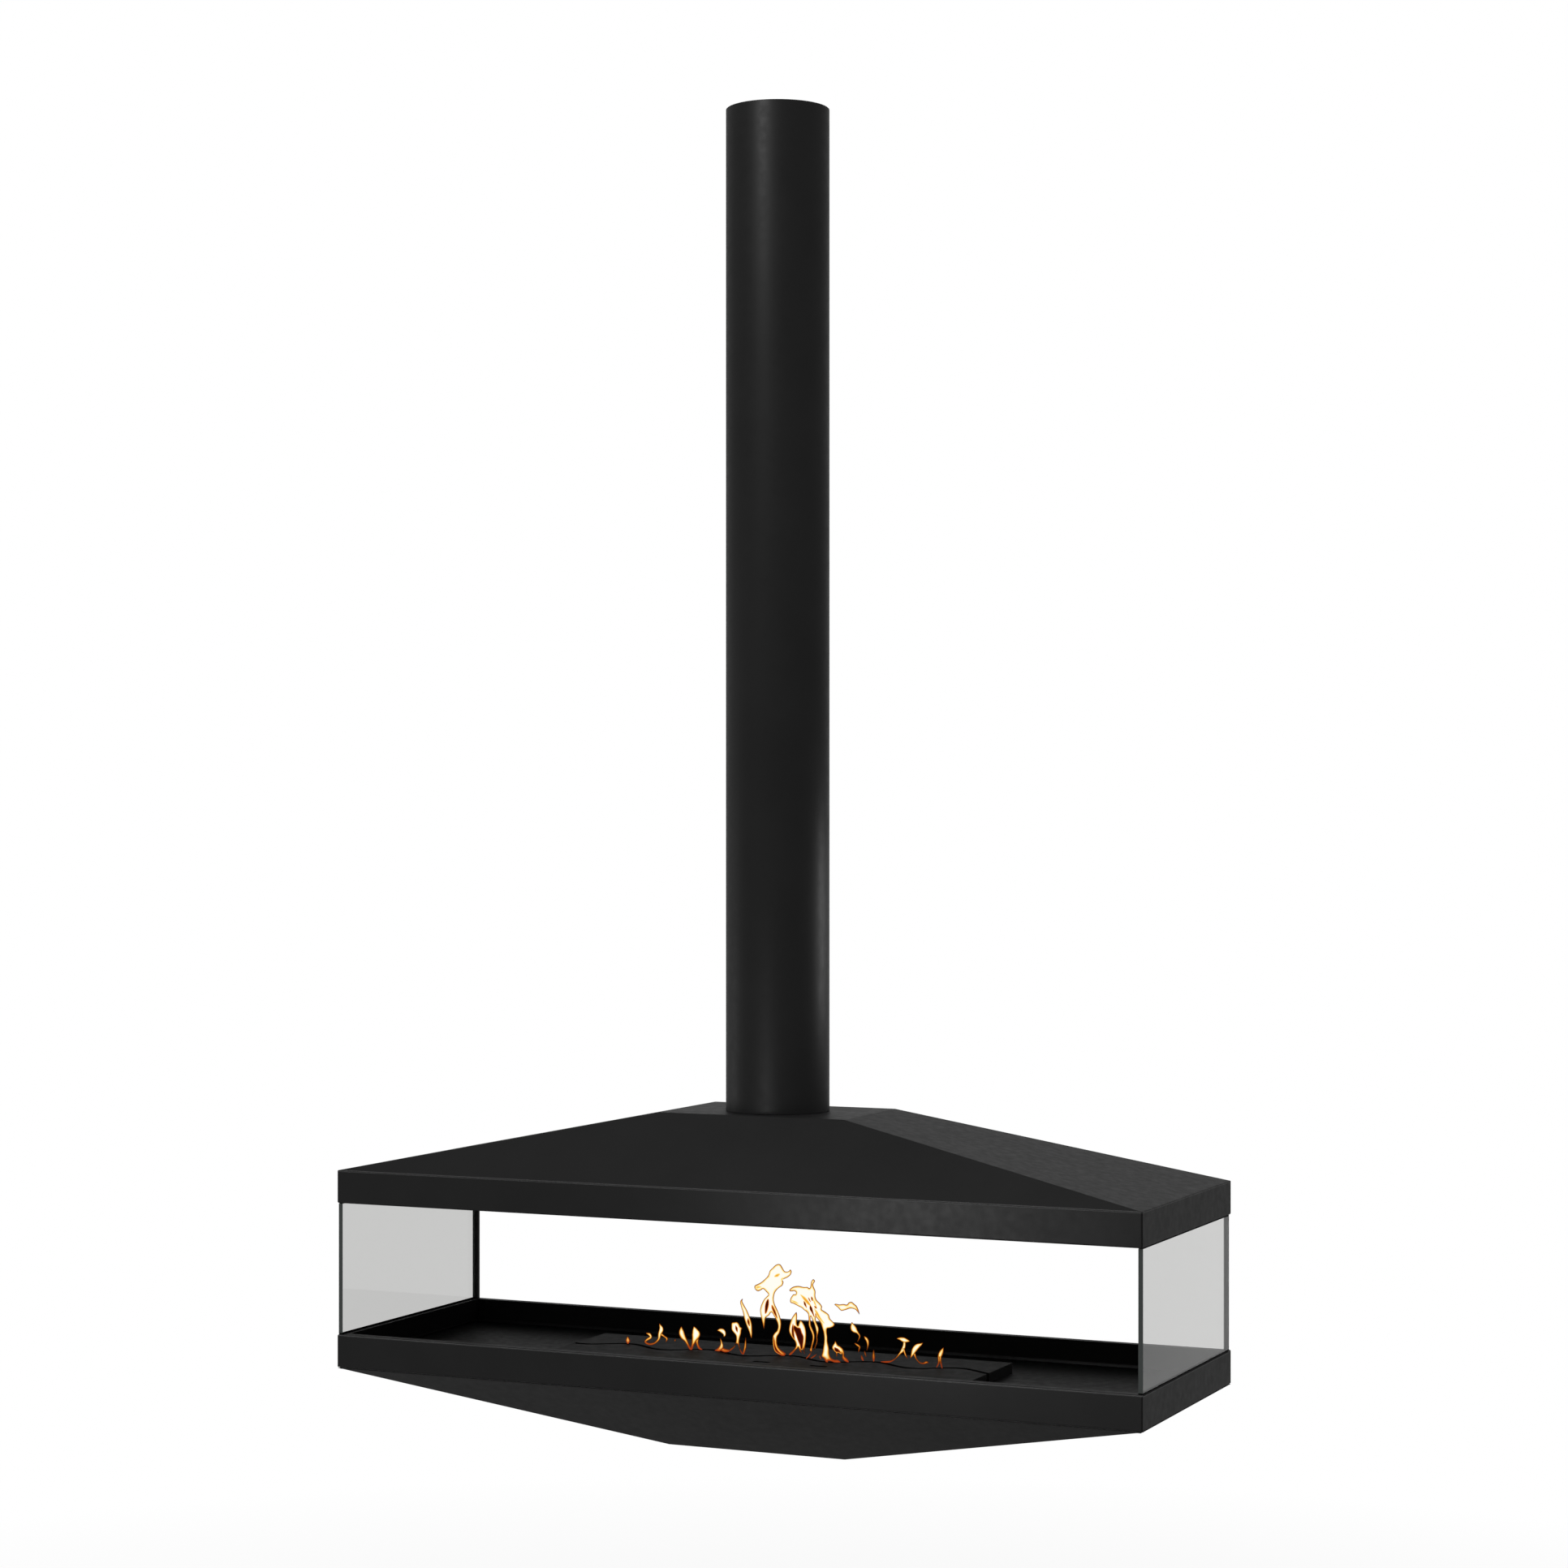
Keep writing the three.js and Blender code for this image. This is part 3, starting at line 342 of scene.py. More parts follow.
# Fine-texture polyester powder coat: the powder melts to orange peel about 3 mm across with a finer grain,
# which is drawn 1.2 mm wide, coarser than the real one, so that it shows. The eye gets an even black with a
# broad, faint sheen and no mirror image
POWDER = {"grain": ((3.2, 0.012), (1.2, 0.008)), "specular": 0.02, "patch_share": 0.07}
FINISHES = {
    # The coat on folded and welded steel sheet: folds that face upward read as thin paler lines, partly wear
    # and partly a painted highlight
    "coat": finish("powder_coat_black", "#1e1e1e", 0.5, 0.04, round_edges=2.5, **POWDER),
    # The same on the tray, whose inside is matt near-black: flat black paint and painted shade under the
    # hood. No sheen there, so the back wall looks deep
    "tray": finish("powder_coat_tray", "#1e1e1e", 0.5, 0.04, round_edges=2.5, soot_and_shade=inside_paint_and_shade,
                   **POWDER),
    # The same on a drawn tube: slightly smoother, so its highlights are narrower
    "tube": finish("powder_coat_tube", "#1c1c1c", 0.46, 0.04, **POWDER),
    # Heat-resistant paint sprayed on the burner plates: duller than the coat, with soot and painted shade
    # along the slit and round the tool slots
    "burner": finish("burner_paint", "#1a1a1a", 0.62, 0.05, round_edges=1.0, soot_and_shade=slit_soot_and_shade, **POWDER),
    # The same paint on the floor plate, with a shallower grain and darker as painted shade: the floor recedes
    # under the burner
    "floor": finish("tray_floor_paint", "#121212", 0.5, 0.05, specular=0.02, patch_share=0.07,
                    round_edges=1.0, grain=((3.2, 0.008), (1.2, 0.006))),
    # Sprayed stove paint under the hood: flatter than the powder coat, stained by smoke. Its grain is drawn
    # coarser than the real one so that it shows
    "shield": finish("stove_paint", "#1c1b1a", 0.8, 0.06, specular=0.2, patch=60, patch_share=0.12,
                     grain=((1.6, 0.03),), tint=shield_soot),
    # Electroplated zinc, slightly blue and cloudy: duller than new zinc, which the tube's lamp burns white.
    # Its grain is drawn coarser than the real one so that it shows
    "zinc": finish("zinc_plate", "#7f8488", 0.6, 0.06, metallic=0.3, patch=22, patch_share=0.12,
                   grain=((0.9, 0.008),)),
    # Brushed stainless steel: the brush lines run along X and draw the highlights out across them. They are
    # drawn 0.8 mm wide, coarser than real ones, so that they show
    "stainless": finish("brushed_stainless", "#a8a9aa", 0.36, 0.08, metallic=1.0, patch=45,
                        patch_share=0.05, grain=((0.8, 0.01),), drawn=(0.03, 1, 1)),
    # Black oxide, made by dipping hardened set screws in hot salts: a thin, oily, uneven black. Its grain is
    # drawn coarser than the real one so that it shows
    "oxide": finish("black_oxide", "#1b1a1a", 0.42, 0.1, patch=9, patch_share=0.15,
                    grain=((0.7, 0.01),)),
    # Extruded silicone strip: matt, and slightly dusty in patches. Its grain is drawn coarser than the real
    # one so that it shows
    "silicone": finish("black_silicone", "#0e0e0e", 0.85, 0.08, specular=0.08, patch=30, patch_share=0.2,
                       grain=((2.0, 0.03),)),
    # Ceramic wool wick: off-white fibres lying every way, drawn about 1 mm thick so that they show
    "wool": finish("ceramic_wool", "#e2dccf", 0.95, 0.04, specular=0.1, patch=18, patch_share=0.07,
                   grain=((4.0, 0.7), (1.1, 0.35))),
}


def glass():
    """Toughened float glass 8 mm thick, tinted grey: clear, with faint wiping smears and roller waves.

    Its edges are ground, which makes them matt grey, and the foot seal's lip is a black strip at its foot.
    The IOR is below plain glass's, because the photograph's reflections are weaker.
    """
    material = bpy.data.materials.new("grey_toughened_glass")
    tree = empty_tree(material)
    place = add(tree, "ShaderNodeTexCoord").outputs["Object"]
    wiped = add(tree, "ShaderNodeMapping", {"Vector": place, "Scale": (1, 1, WIPE_STRETCH)})
    smears = add(tree, "ShaderNodeTexNoise", {
        "Vector": wiped, "Scale": 1 / (WIPE_SIZE * MM), "Detail": 5.0})
    polish = add(tree, "ShaderNodeMapRange", {
        "Value": smears, "From Min": SMEAR_START, "From Max": SMEAR_FULL,
        "To Min": CLEAN_ROUGHNESS, "To Max": SMEARED_ROUGHNESS})
    roller = add(tree, "ShaderNodeTexNoise", {
        "Vector": wiped, "Scale": 1 / (ROLLER_SIZE * MM), "Detail": 1.0})
    bump = add(tree, "ShaderNodeBump", {"Height": roller, "Distance": ROLLER_HEIGHT * MM})
    clear = add(tree, "ShaderNodeBsdfPrincipled", {
        "Base Color": linear(GLASS_TINT), "Roughness": polish, "IOR": GLASS_IOR,
        "Transmission Weight": 1.0, "Normal": bump})

    axes = add(tree, "ShaderNodeSeparateXYZ", {"Vector": place}).outputs
    lip = add(tree, "ShaderNodeMath", {0: axes["Z"], 1: SEAL_LIP * MM}, operation="LESS_THAN")
    across = add(tree, "ShaderNodeMath", {0: axes["Y"], 1: PANE_MIDDLE * MM}, operation="SUBTRACT")
    across = add(tree, "ShaderNodeMath", {0: across}, operation="ABSOLUTE")
    ground = add(tree, "ShaderNodeMath", {0: across, 1: PANE_GROUND * MM}, operation="GREATER_THAN")
    opaque = add(tree, "ShaderNodeMath", {0: ground, 1: lip}, operation="MAXIMUM")
    colour = add(tree, "ShaderNodeMix", {
        0: lip, COLOUR_A: linear(GROUND_GREY), COLOUR_B: linear(SEAL_BLACK)}, data_type="RGBA")
    matt = add(tree, "ShaderNodeBsdfDiffuse", {"Color": colour.outputs[COLOUR_MIXED]})
    shader = add(tree, "ShaderNodeMixShader", {0: opaque, 1: clear, 2: matt})
    add(tree, "ShaderNodeOutputMaterial", {"Surface": shader})
    return material


FINISHES["glass"] = glass()

FINISH_OF = (
    ("coat", ("hood_band", "hood_roof", "hood_rim", "rear_post", "foot_frame", "base_cover")),
    ("tray", ("tray_shell",)),
    ("tube", ("suspension_tube",)),
    ("floor", ("floor_plate",)),
    ("burner", ("burner_plate",)),
    ("shield", ("heat_shield",)),
    ("zinc", ("ceiling_plate", "bracket_collar", "tube_foot_ring", "spreader_plate", "hanging_bolt",
              "hood_stay", "stay_bolt", "stay_foot_bolt", "shield_screw", "post_head_screw",
              "post_foot_screw", "base_screw")),
    ("stainless", ("fuel_tank", "tank_deck", "register_slide", "guide_rail")),
    ("oxide", ("tube_set_screw",)),
    ("silicone", ("pane_head_seal", "pane_foot_seal")),
    ("wool", ("wick",)),
    ("glass", ("end_pane",)),
)
for key, starts in FINISH_OF:
    for name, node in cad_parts.items():
        if name.startswith(starts):
            node.data.materials.clear()
            node.data.materials.append(FINISHES[key])


# Meshes

def mesh_object(name, vertices, faces, material, depths=None):
    """A smooth mesh from vertices in mm. depths gives each vertex a value, kept as the attribute "edge"."""
    mesh = bpy.data.meshes.new(name)
    mesh.from_pydata((vertices * MM).tolist(), [], faces)
    mesh.shade_smooth()
    mesh.materials.append(material)
    if depths is not None:
        edge = mesh.attributes.new("edge", "FLOAT", "POINT")
        edge.data.foreach_set("value", depths.astype(np.float32))
    made = bpy.data.objects.new(name, mesh)
    bpy.context.scene.collection.objects.link(made)
    return made


def grid_object(name, points, material, closed_rows=False, depths=None):
    """A mesh through a grid of points (rows, columns, 3) in mm, with an optional grid of depths.

    The columns always wrap round. The rows wrap if closed_rows, and otherwise each end is closed by a fan
    to its middle, where the depth is 0.
    """
    rows, columns = points.shape[:2]
    corner = np.arange(rows * columns).reshape(rows, columns)
    beside = np.roll(corner, -1, axis=1)
    quads = np.stack([corner, beside, np.roll(beside, -1, axis=0), np.roll(corner, -1, axis=0)], axis=-1)
    if closed_rows:
        return mesh_object(name, points.reshape(-1, 3), quads.reshape(-1, 4).tolist(), material)
    first = np.full(columns, corner.size)
    vertices = np.vstack([points.reshape(-1, 3), points[0].mean(axis=0), points[-1].mean(axis=0)])
    faces = [*quads[:-1].reshape(-1, 4).tolist(), *np.column_stack([beside[0], corner[0], first]).tolist(),
             *np.column_stack([corner[-1], beside[-1], first + 1]).tolist()]
    if depths is not None:
        depths = np.append(depths, (0.0, 0.0))
    return mesh_object(name, vertices, faces, material, depths)


def revolved(name, profile, material, sides=256):
    """A closed profile of (radius, z) turned once round Z: (radius cos a, radius sin a, z)."""
    turn = np.arange(sides) / sides * 2 * np.pi
    radius, height = np.array(profile, float).T
    points = np.stack([
        radius[:, None] * np.cos(turn), radius[:, None] * np.sin(turn),
        height[:, None] * np.ones(sides)], axis=-1)
    return grid_object(name, points, material, closed_rows=True)


# The suspension tube, smooth in place of the faceted one. A drill's ends are in mm from the tube's axis
DRILL_ENDS = (80.0, 100.0)
DRILL_SIDES = 32
SHARP_ANGLE = 30


def smooth_tube():
    """The suspension tube: a plain lathe form with three set screw holes through its rear side.

    Each hole is cut with a round bar that lies square to the tube's axis and reaches past its wall.
    """
    tube = revolved("suspension_tube_smooth", [
        (TUBE_INNER, TUBE_TOP), (TUBE_INNER, TUBE_FOOT), (TUBE_OUTER - TUBE_EDGE, TUBE_FOOT),
        (TUBE_OUTER, TUBE_FOOT + TUBE_EDGE), (TUBE_OUTER, TUBE_TOP - TUBE_EDGE),
        (TUBE_OUTER - TUBE_EDGE, TUBE_TOP)], FINISHES["tube"])
    around = np.arange(DRILL_SIDES) / DRILL_SIDES * 2 * np.pi
    for angle in SET_SCREW_ANGLES:
        out = np.array([math.cos(math.radians(angle)), math.sin(math.radians(angle)), 0])
        side = np.array([-out[1], out[0], 0])
        ring = SET_SCREW_HOLE_RADIUS * (np.cos(around)[:, None] * side + np.sin(around)[:, None] * UPWARD)
        bar = np.stack([SET_SCREW_Z * UPWARD + reach * out + ring for reach in DRILL_ENDS])
        drill = grid_object("drill", bar, FINISHES["tube"])
        hole = tube.modifiers.new("hole", "BOOLEAN")
        hole.operation = "DIFFERENCE"
        hole.solver = "EXACT"
        hole.object = drill
        drilled = bpy.data.meshes.new_from_object(tube.evaluated_get(bpy.context.evaluated_depsgraph_get()))
        tube.modifiers.clear()
        tube.data = drilled
        bpy.data.objects.remove(drill)
    tube.data.set_sharp_from_angle(angle=math.radians(SHARP_ANGLE))
    return tube


tube = smooth_tube()
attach(tube, "fireplace")
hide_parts("suspension_tube")


# Flames, in the photograph's pixels. A ribbon runs from foot to tip as (x, y, half width)
RIBBONS = [
    [(774, 1655.5, 0.6), (774.2, 1652, 2.7), (774, 1649, 1.8), (774, 1646.3, 0.2)],
    [(796.3, 1642.5, 0.5), (800.6, 1644.4, 2.2), (802, 1647.6, 1.9), (797.5, 1650.6, 1.7),
     (795.2, 1653.4, 1.4), (800, 1656, 1.2), (806.5, 1654.9, 1.2), (811.6, 1650, 1.6), (813, 1643.5, 2.4),
     (815, 1637.3, 2.8), (812.6, 1630.8, 0.3)],
    [(814.5, 1644, 1.8), (818.5, 1646.8, 1.1), (821.6, 1649.6, 1.3), (820.2, 1653.8, 0.3)],
    [(831, 1653, 0.2), (831.4, 1651.6, 0.9), (831.8, 1650, 0.2)],
    [(852, 1664, 0.6), (849.5, 1659.5, 1.1), (846, 1652.5, 1.6), (841.5, 1646, 2.9), (840, 1640, 2.5),
     (840, 1634.4, 0.3)],
    [(852, 1664, 0.6), (853, 1659, 1.2), (855.5, 1651.5, 2.6), (857.8, 1644.5, 4.6), (856.6, 1639, 3),
     (855.2, 1634.4, 0.3)],
    [(858.5, 1648, 2.4), (859, 1655, 1.5), (861.5, 1661, 1.1), (865.6, 1665.6, 0.3)],
    [(883.6, 1639.4, 0.4), (887, 1639.2, 2.3), (891, 1641, 3.4), (892.3, 1644.2, 2.6),
     (891.6, 1647.2, 0.4)],
    [(881, 1665.5, 0.6), (885.5, 1663, 2.2), (889.5, 1659, 3.2), (889.3, 1653.5, 1.7),
     (887.9, 1648.6, 0.3)],
    [(888, 1661.5, 2.4), (893, 1663.8, 2.2), (898.5, 1664.3, 1.2)],
    [(915.5, 1668.7, 0.8), (918, 1660, 1.5), (918.7, 1648, 0.2)],
    [(925.5, 1648.8, 0.4), (924.6, 1641, 1.8), (922.5, 1632, 3.3), (920, 1624, 3.6), (917.5, 1616, 3),
     (914.5, 1609, 2.3), (913, 1604, 1.5), (914.6, 1600.4, 0.3)],
    [(1057, 1653, 0.3), (1059.6, 1646.5, 0.9), (1057, 1642, 1.3), (1053.2, 1638.6, 3.1),
     (1051.3, 1634.5, 2.8), (1050, 1629, 0.3)],
    [(1053.2, 1655, 0.5), (1056.5, 1657.2, 1.2), (1059.2, 1659.6, 1.1), (1058.6, 1663, 0.8),
     (1057.8, 1666.3, 0.2)],
    [(1068, 1664, 0.3), (1069.3, 1657.5, 1), (1068.8, 1652.5, 1.7), (1066.8, 1649, 1.6),
     (1064.5, 1646.4, 0.3)],
    [(1061, 1670, 0.4), (1062, 1674, 1), (1063.5, 1677, 0.3)],
    [(1065.5, 1664.5, 0.3), (1066.5, 1668, 0.9), (1067.5, 1671.4, 0.3)],
    [(1076.6, 1677.5, 0.5), (1076.6, 1671, 1.9), (1076.6, 1662.8, 0.2)],
    [(1105.1, 1649.3, 0.4), (1109, 1649.6, 2), (1113.5, 1651, 3.1), (1117.6, 1652, 2.1),
     (1121, 1652.7, 0.4)],
    [(1114, 1652.5, 2), (1113.8, 1658, 2.1), (1111.8, 1663.5, 2.4), (1108.2, 1668, 1.3),
     (1103.4, 1673.6, 0.8), (1097.5, 1677.4, 0.9), (1091, 1678.2, 1), (1085, 1678, 0.3)],
    [(1113.4, 1661, 1.4), (1116, 1669, 1.2), (1118.8, 1674, 0.3)],
    [(1122, 1673.4, 0.5), (1124.3, 1668.5, 1.9), (1126.8, 1663, 3.2), (1130.5, 1658.6, 3),
     (1134.6, 1656.4, 1.6), (1137.2, 1654.6, 0.3)],
    [(1126.5, 1668, 1.5), (1128.8, 1674, 0.9), (1133, 1678.8, 0.8), (1137.5, 1679.9, 1),
     (1141.5, 1678.6, 1.5), (1144, 1679.3, 0.3)],
    [(1153.6, 1685, 0.3), (1156.2, 1679.5, 0.9), (1157.6, 1671.5, 2.2), (1159.6, 1666, 2.3),
     (1162.1, 1660.6, 0.3)],
    [(1158.8, 1671, 1.5), (1159.4, 1678, 1), (1161.3, 1689.3, 0.3)],
    [(1000, 1665.6, 0.3), (997, 1670, 0.9), (993.2, 1675.3, 0.3)],
    [(1006.2, 1668.4, 0.3), (1002.5, 1671.4, 0.8), (998.7, 1673.7, 0.3)],
    [(1009.2, 1670.6, 0.3), (1010.2, 1672.8, 0.8), (1011.4, 1675, 0.3)],
]

# The larger flames are closed outlines
OUTLINES = [
    # The bulb on two legs, left of the tallest
    [(901.6, 1630), (905, 1629.1), (908.4, 1629.1), (910.7, 1631.7), (911.9, 1634.6), (914.4, 1636.3),
     (913.6, 1639.1), (913, 1643.7), (911.3, 1648.9), (910.7, 1654), (911.9, 1660.9), (914.1, 1666),
     (915.6, 1668.6), (913.6, 1667.7), (911.3, 1663.1), (909.2, 1656.9), (907.3, 1655.7), (905, 1660.3),
     (901, 1663.7), (898.7, 1664.9), (899.3, 1662.6), (903.9, 1659.1), (906.5, 1654.6), (907.3, 1649.4),
     (906.5, 1644.9), (903.5, 1641.4), (901.6, 1638.6), (901.2, 1634.6)],
    # The tallest, with its head turned to the right
    [(959.1, 1557.4), (962.2, 1558.7), (964.5, 1562.7), (966.8, 1566.2), (969.5, 1566.9), (972.1, 1566),
     (973.7, 1564.2), (975.4, 1566.4), (974.4, 1570.4), (971, 1573.6), (967.5, 1575.3), (964.3, 1577.1),
     (965.4, 1579.6), (964.1, 1583.8), (959.9, 1586.8), (956.1, 1590.7), (954.1, 1595.2), (953.4, 1601.4),
     (954.7, 1607), (957.7, 1613.7), (960.8, 1621.3), (962.3, 1627.9), (962.3, 1634.6), (960.8, 1641.7),
     (957.7, 1646.8), (957.2, 1651.9), (958.2, 1658), (961.8, 1663.1), (966.9, 1666.7), (967.9, 1668.5),
     (965.4, 1671), (960.8, 1669.3), (955.7, 1666.2), (953.6, 1662.1), (952.4, 1654.5), (952.1, 1646.8),
     (954.7, 1642.2), (957.2, 1639.7), (958.7, 1634.6), (957.7, 1629.5), (954.7, 1623.3), (950.6, 1617),
     (947.5, 1620.8), (943.4, 1623.9), (942.4, 1630.5), (941.4, 1638.1), (939.6, 1630.5), (937.8, 1622.8),
     (936.5, 1615.2), (937.3, 1610.2), (938.5, 1606.7), (941.1, 1601.4), (945, 1597.2), (946.7, 1594.9),
     (944.2, 1591.8), (940.4, 1588.2), (937.3, 1589.9), (933.5, 1591), (930.2, 1588.4), (929.5, 1585.3),
     (930.8, 1583.4), (936.5, 1580.7), (941.9, 1576.5), (946.5, 1571.5), (948.4, 1565.8), (952.2, 1562),
     (955.3, 1558.9)],
    # The double tongue beside it
    [(972.3, 1668.5), (973.5, 1669.8), (977.1, 1667.2), (980.2, 1663.7), (982.7, 1661.6), (983.7, 1660),
     (985.3, 1664.7), (987.8, 1666.7), (986.8, 1662), (988.6, 1660), (989.9, 1664.7), (991.9, 1668.5),
     (991.1, 1663.7), (992.4, 1657), (993.2, 1649.4), (993.4, 1643.8), (992.4, 1636.6), (990.4, 1631.5),
     (986.5, 1626.4), (984.5, 1630), (983.2, 1633.6), (981.7, 1630.5), (982.2, 1622.3), (981.4, 1616.7),
     (977.6, 1620.8), (974.6, 1626.4), (972.5, 1634.6), (972.3, 1640.7), (975.1, 1646.8), (979.1, 1651.9),
     (980.7, 1656.5), (979.7, 1660.6), (976.1, 1664.7)],
    # The broad one that leans right, with three stems
    [(1002.4, 1576.2), (1004.2, 1578.7), (1001.9, 1582.7), (1003.3, 1587.2), (1004.8, 1591.2),
     (1004.6, 1597), (1006.4, 1601.9), (1010.4, 1605.9), (1012.9, 1609.9), (1012.6, 1613.5),
     (1016.7, 1616.2), (1021.1, 1619.8), (1022.7, 1624.7), (1025.6, 1627.8), (1028.5, 1631.4),
     (1026.9, 1634.5), (1022.5, 1636.3), (1019.2, 1637), (1018.8, 1641.6), (1019.4, 1647.3), (1019.6, 1653),
     (1021.3, 1660.7), (1021.7, 1666.4), (1022.7, 1670.7), (1024.6, 1673.7), (1028.4, 1675.6),
     (1031.8, 1675.6), (1034.5, 1677.2), (1036.4, 1679.8), (1031.8, 1679.8), (1027.2, 1678.3),
     (1023, 1676.8), (1020.4, 1676.8), (1019.6, 1679.5), (1017.3, 1677.5), (1015.8, 1674.5),
     (1013.1, 1672.2), (1012.1, 1670.3), (1013.3, 1665.7), (1014.6, 1658.8), (1015.6, 1651.1),
     (1015.2, 1644.2), (1013.5, 1637.7), (1010.9, 1630), (1007.3, 1625.1), (1005.1, 1622.9),
     (1005.5, 1628.3), (1006.8, 1631.8), (1008.5, 1635.8), (1008.7, 1639.7), (1007.7, 1644.6),
     (1007, 1648.1), (1007.5, 1651.1), (1006.6, 1655.7), (1005, 1659.9), (1003.7, 1664.1), (1003.1, 1661.9),
     (1004.7, 1656.9), (1006, 1652.3), (1005.7, 1647.3), (1006, 1643.5), (1005.4, 1638.9), (1003.4, 1631.5),
     (1001, 1626.5), (998.8, 1622), (998.8, 1627.8), (999.3, 1633.1), (1000.8, 1636.6), (1002.8, 1641.6),
     (1003.7, 1646.2), (1003.3, 1651.1), (1002, 1655.7), (1001, 1660.3), (1000.5, 1665.7), (997.4, 1663.8),
     (998.9, 1659.6), (1000.5, 1653.4), (1001.2, 1648.5), (1000.5, 1643.5), (998.5, 1638.9), (996.4, 1633),
     (996.3, 1625.6), (995.7, 1619.3), (993.4, 1616.2), (990.3, 1614), (988.1, 1611.7), (984.5, 1609.9),
     (979.6, 1607.3), (976.5, 1605.9), (974.7, 1605.5), (973.4, 1603.3), (974.3, 1599.2), (977.4, 1594.8),
     (980.1, 1594.8), (980.9, 1592.5), (978.7, 1590.8), (974.7, 1591.2), (972.5, 1589.9), (975.1, 1586.7),
     (979.2, 1584.9), (984.5, 1584.5), (990.3, 1585.8), (994.8, 1585.8), (997.5, 1587.2), (998.8, 1584.1),
     (999.3, 1579.6), (1001, 1576.9)],
    # A flake of flame that has broken away
    [(1028.3, 1607.7), (1029.5, 1606.4), (1034, 1607.3), (1039, 1606.8), (1043.5, 1607.4), (1045.5, 1605),
     (1049.2, 1604), (1052.5, 1606.5), (1056.3, 1610.4), (1059.2, 1619.8), (1054.4, 1613.9),
     (1048.1, 1612.2), (1042.3, 1613.9), (1036.4, 1615), (1032.3, 1610.9)],
    # The low hook right of the broad one
    [(1029, 1651.7), (1030.5, 1654.2), (1032.2, 1657.3), (1035.7, 1659.2), (1038.7, 1662.2),
     (1040.3, 1666.4), (1040.6, 1671), (1044, 1674.5), (1045.8, 1678.7), (1041.4, 1677.2), (1038.7, 1674.9),
     (1037.6, 1672.6), (1037.6, 1668.4), (1035.7, 1666.4), (1032.2, 1667.2), (1031.5, 1671.4),
     (1030.1, 1671), (1029.9, 1667.2), (1026.9, 1663.8), (1025.1, 1661.1), (1025.7, 1658.4), (1028, 1655)],
]

# Golden gas in the large flames: eye, nose and chin of the tallest, then the broad one
GOLDEN = [
    [(954.5, 1573, 0.8), (957.8, 1571.4, 2), (961, 1569.6, 1)],
    [(931, 1588, 0.5), (934, 1586, 1.7), (938.5, 1585.5, 0.6)],
    [(963.5, 1578, 0.4), (964, 1575.8, 1.3), (965.5, 1574.3, 0.4)],
    [(986.5, 1595, 0.6), (991, 1599.5, 2.4), (995.5, 1604.5, 2.6), (999.5, 1609, 1)],
    [(1001.5, 1599.5, 0.6), (1004, 1605, 1.6), (1006.5, 1611, 0.8)],
    [(1003.5, 1612, 0.6), (1006.5, 1617, 2), (1010.5, 1624, 1.8), (1016, 1630.5, 0.6)],
    [(975.5, 1602, 0.5), (979.5, 1604, 1.4), (984, 1606, 0.6)],
]

# Cooler gas seen through the large flames: streaks, then two dark hearts
STREAKS = [
    [(951.5, 1607.5, 0.4), (952.6, 1611.1, 1.4), (955.2, 1617.2, 1.5), (958.2, 1624.4, 0.6)],
    [(1000.1, 1597.4, 0.8), (1000.9, 1600, 1.8), (1001.6, 1603, 0.8)],
    [(996.2, 1598.4, 0.4), (997.6, 1601, 1.2), (999.3, 1604.1, 0.6)],
    [(990.8, 1602.8, 0.6), (992.3, 1606.5, 2), (994.4, 1611.3, 0.6)],
    [(1003.7, 1609.1, 0.6), (1005.3, 1610.6, 1.5), (1007, 1611.9, 0.6)],
    [(998.4, 1607.7, 0.4), (999.6, 1612, 2.8), (1001.6, 1616.8, 1.7), (1003.8, 1622.5, 0.8)],
    [(1005, 1617.8, 0.4), (1005.6, 1620, 1.2), (1005.9, 1622.2, 0.6)],
    [(977.6, 1630.5, 0.4), (977.2, 1637, 1.7), (977.8, 1644.8, 2), (979.7, 1650.4, 0.6)],
    [(1028.8, 1660, 0.8), (1031.2, 1663.2, 2.6), (1034.6, 1665.2, 1.6), (1037.2, 1668, 0.5)],
    [(953.8, 1647, 0.6), (954.2, 1652, 1.2), (955, 1658, 1.4), (957.5, 1664, 1.8), (962.5, 1668, 1)],
    [(922, 1624, 0.4), (922.6, 1628.5, 1.7), (924, 1634, 0.6)],
    [(906.9, 1633, 0.6), (908, 1637, 2.1), (909, 1641.5, 0.6)],
]
DARK_HEARTS = [
    [(978.6, 1632.5), (981.2, 1633.8), (983.2, 1635.2), (986.8, 1636.1), (988.8, 1641.7), (990.9, 1646.8),
     (990.6, 1654.5), (989.5, 1662), (987, 1662.5), (985.6, 1657.5), (983.6, 1652.5), (981.6, 1646.5),
     (979.4, 1641), (977.6, 1636.5)],
    [(947.4, 1600), (944.6, 1602.7), (942.8, 1609.4), (942.9, 1618.7), (945.8, 1616.2), (948, 1607)],
]

# Flames in millimetres: their lowest place over the burner's top, the half thickness of sheets and of streaks
# and golden gas, a ribbon's least half width and its thickness as a share of its width, the depth at which an
# outline is at its thickest, and the depth below which its front and back share their points
FLAME_FOOT = -1.0
SHEET_HALF = 0.42
STREAK_HALF = 0.2
THINNEST_HALF = 0.15
THICKNESS_SHARE = 0.3
FULL_DEPTH = 2.0
SHARED_DEPTH = 0.001

# Layers in millimetres that hold crossing pieces apart. Those below 0 lie in front of the slit's middle
SHEETS = 4
SHEET_STEP = 0.9
GOLDEN_LAYER = -1.0
STREAK_LAYER = -1.6

# Steps of the curves, then the step and welding distance of an outline's fill in pixels
FLAME_STEPS = 12
FLAME_SIDES = 16
OUTLINE_STEPS = 3
FILL_STEP = 0.8
WELD_DISTANCE = 1e-5

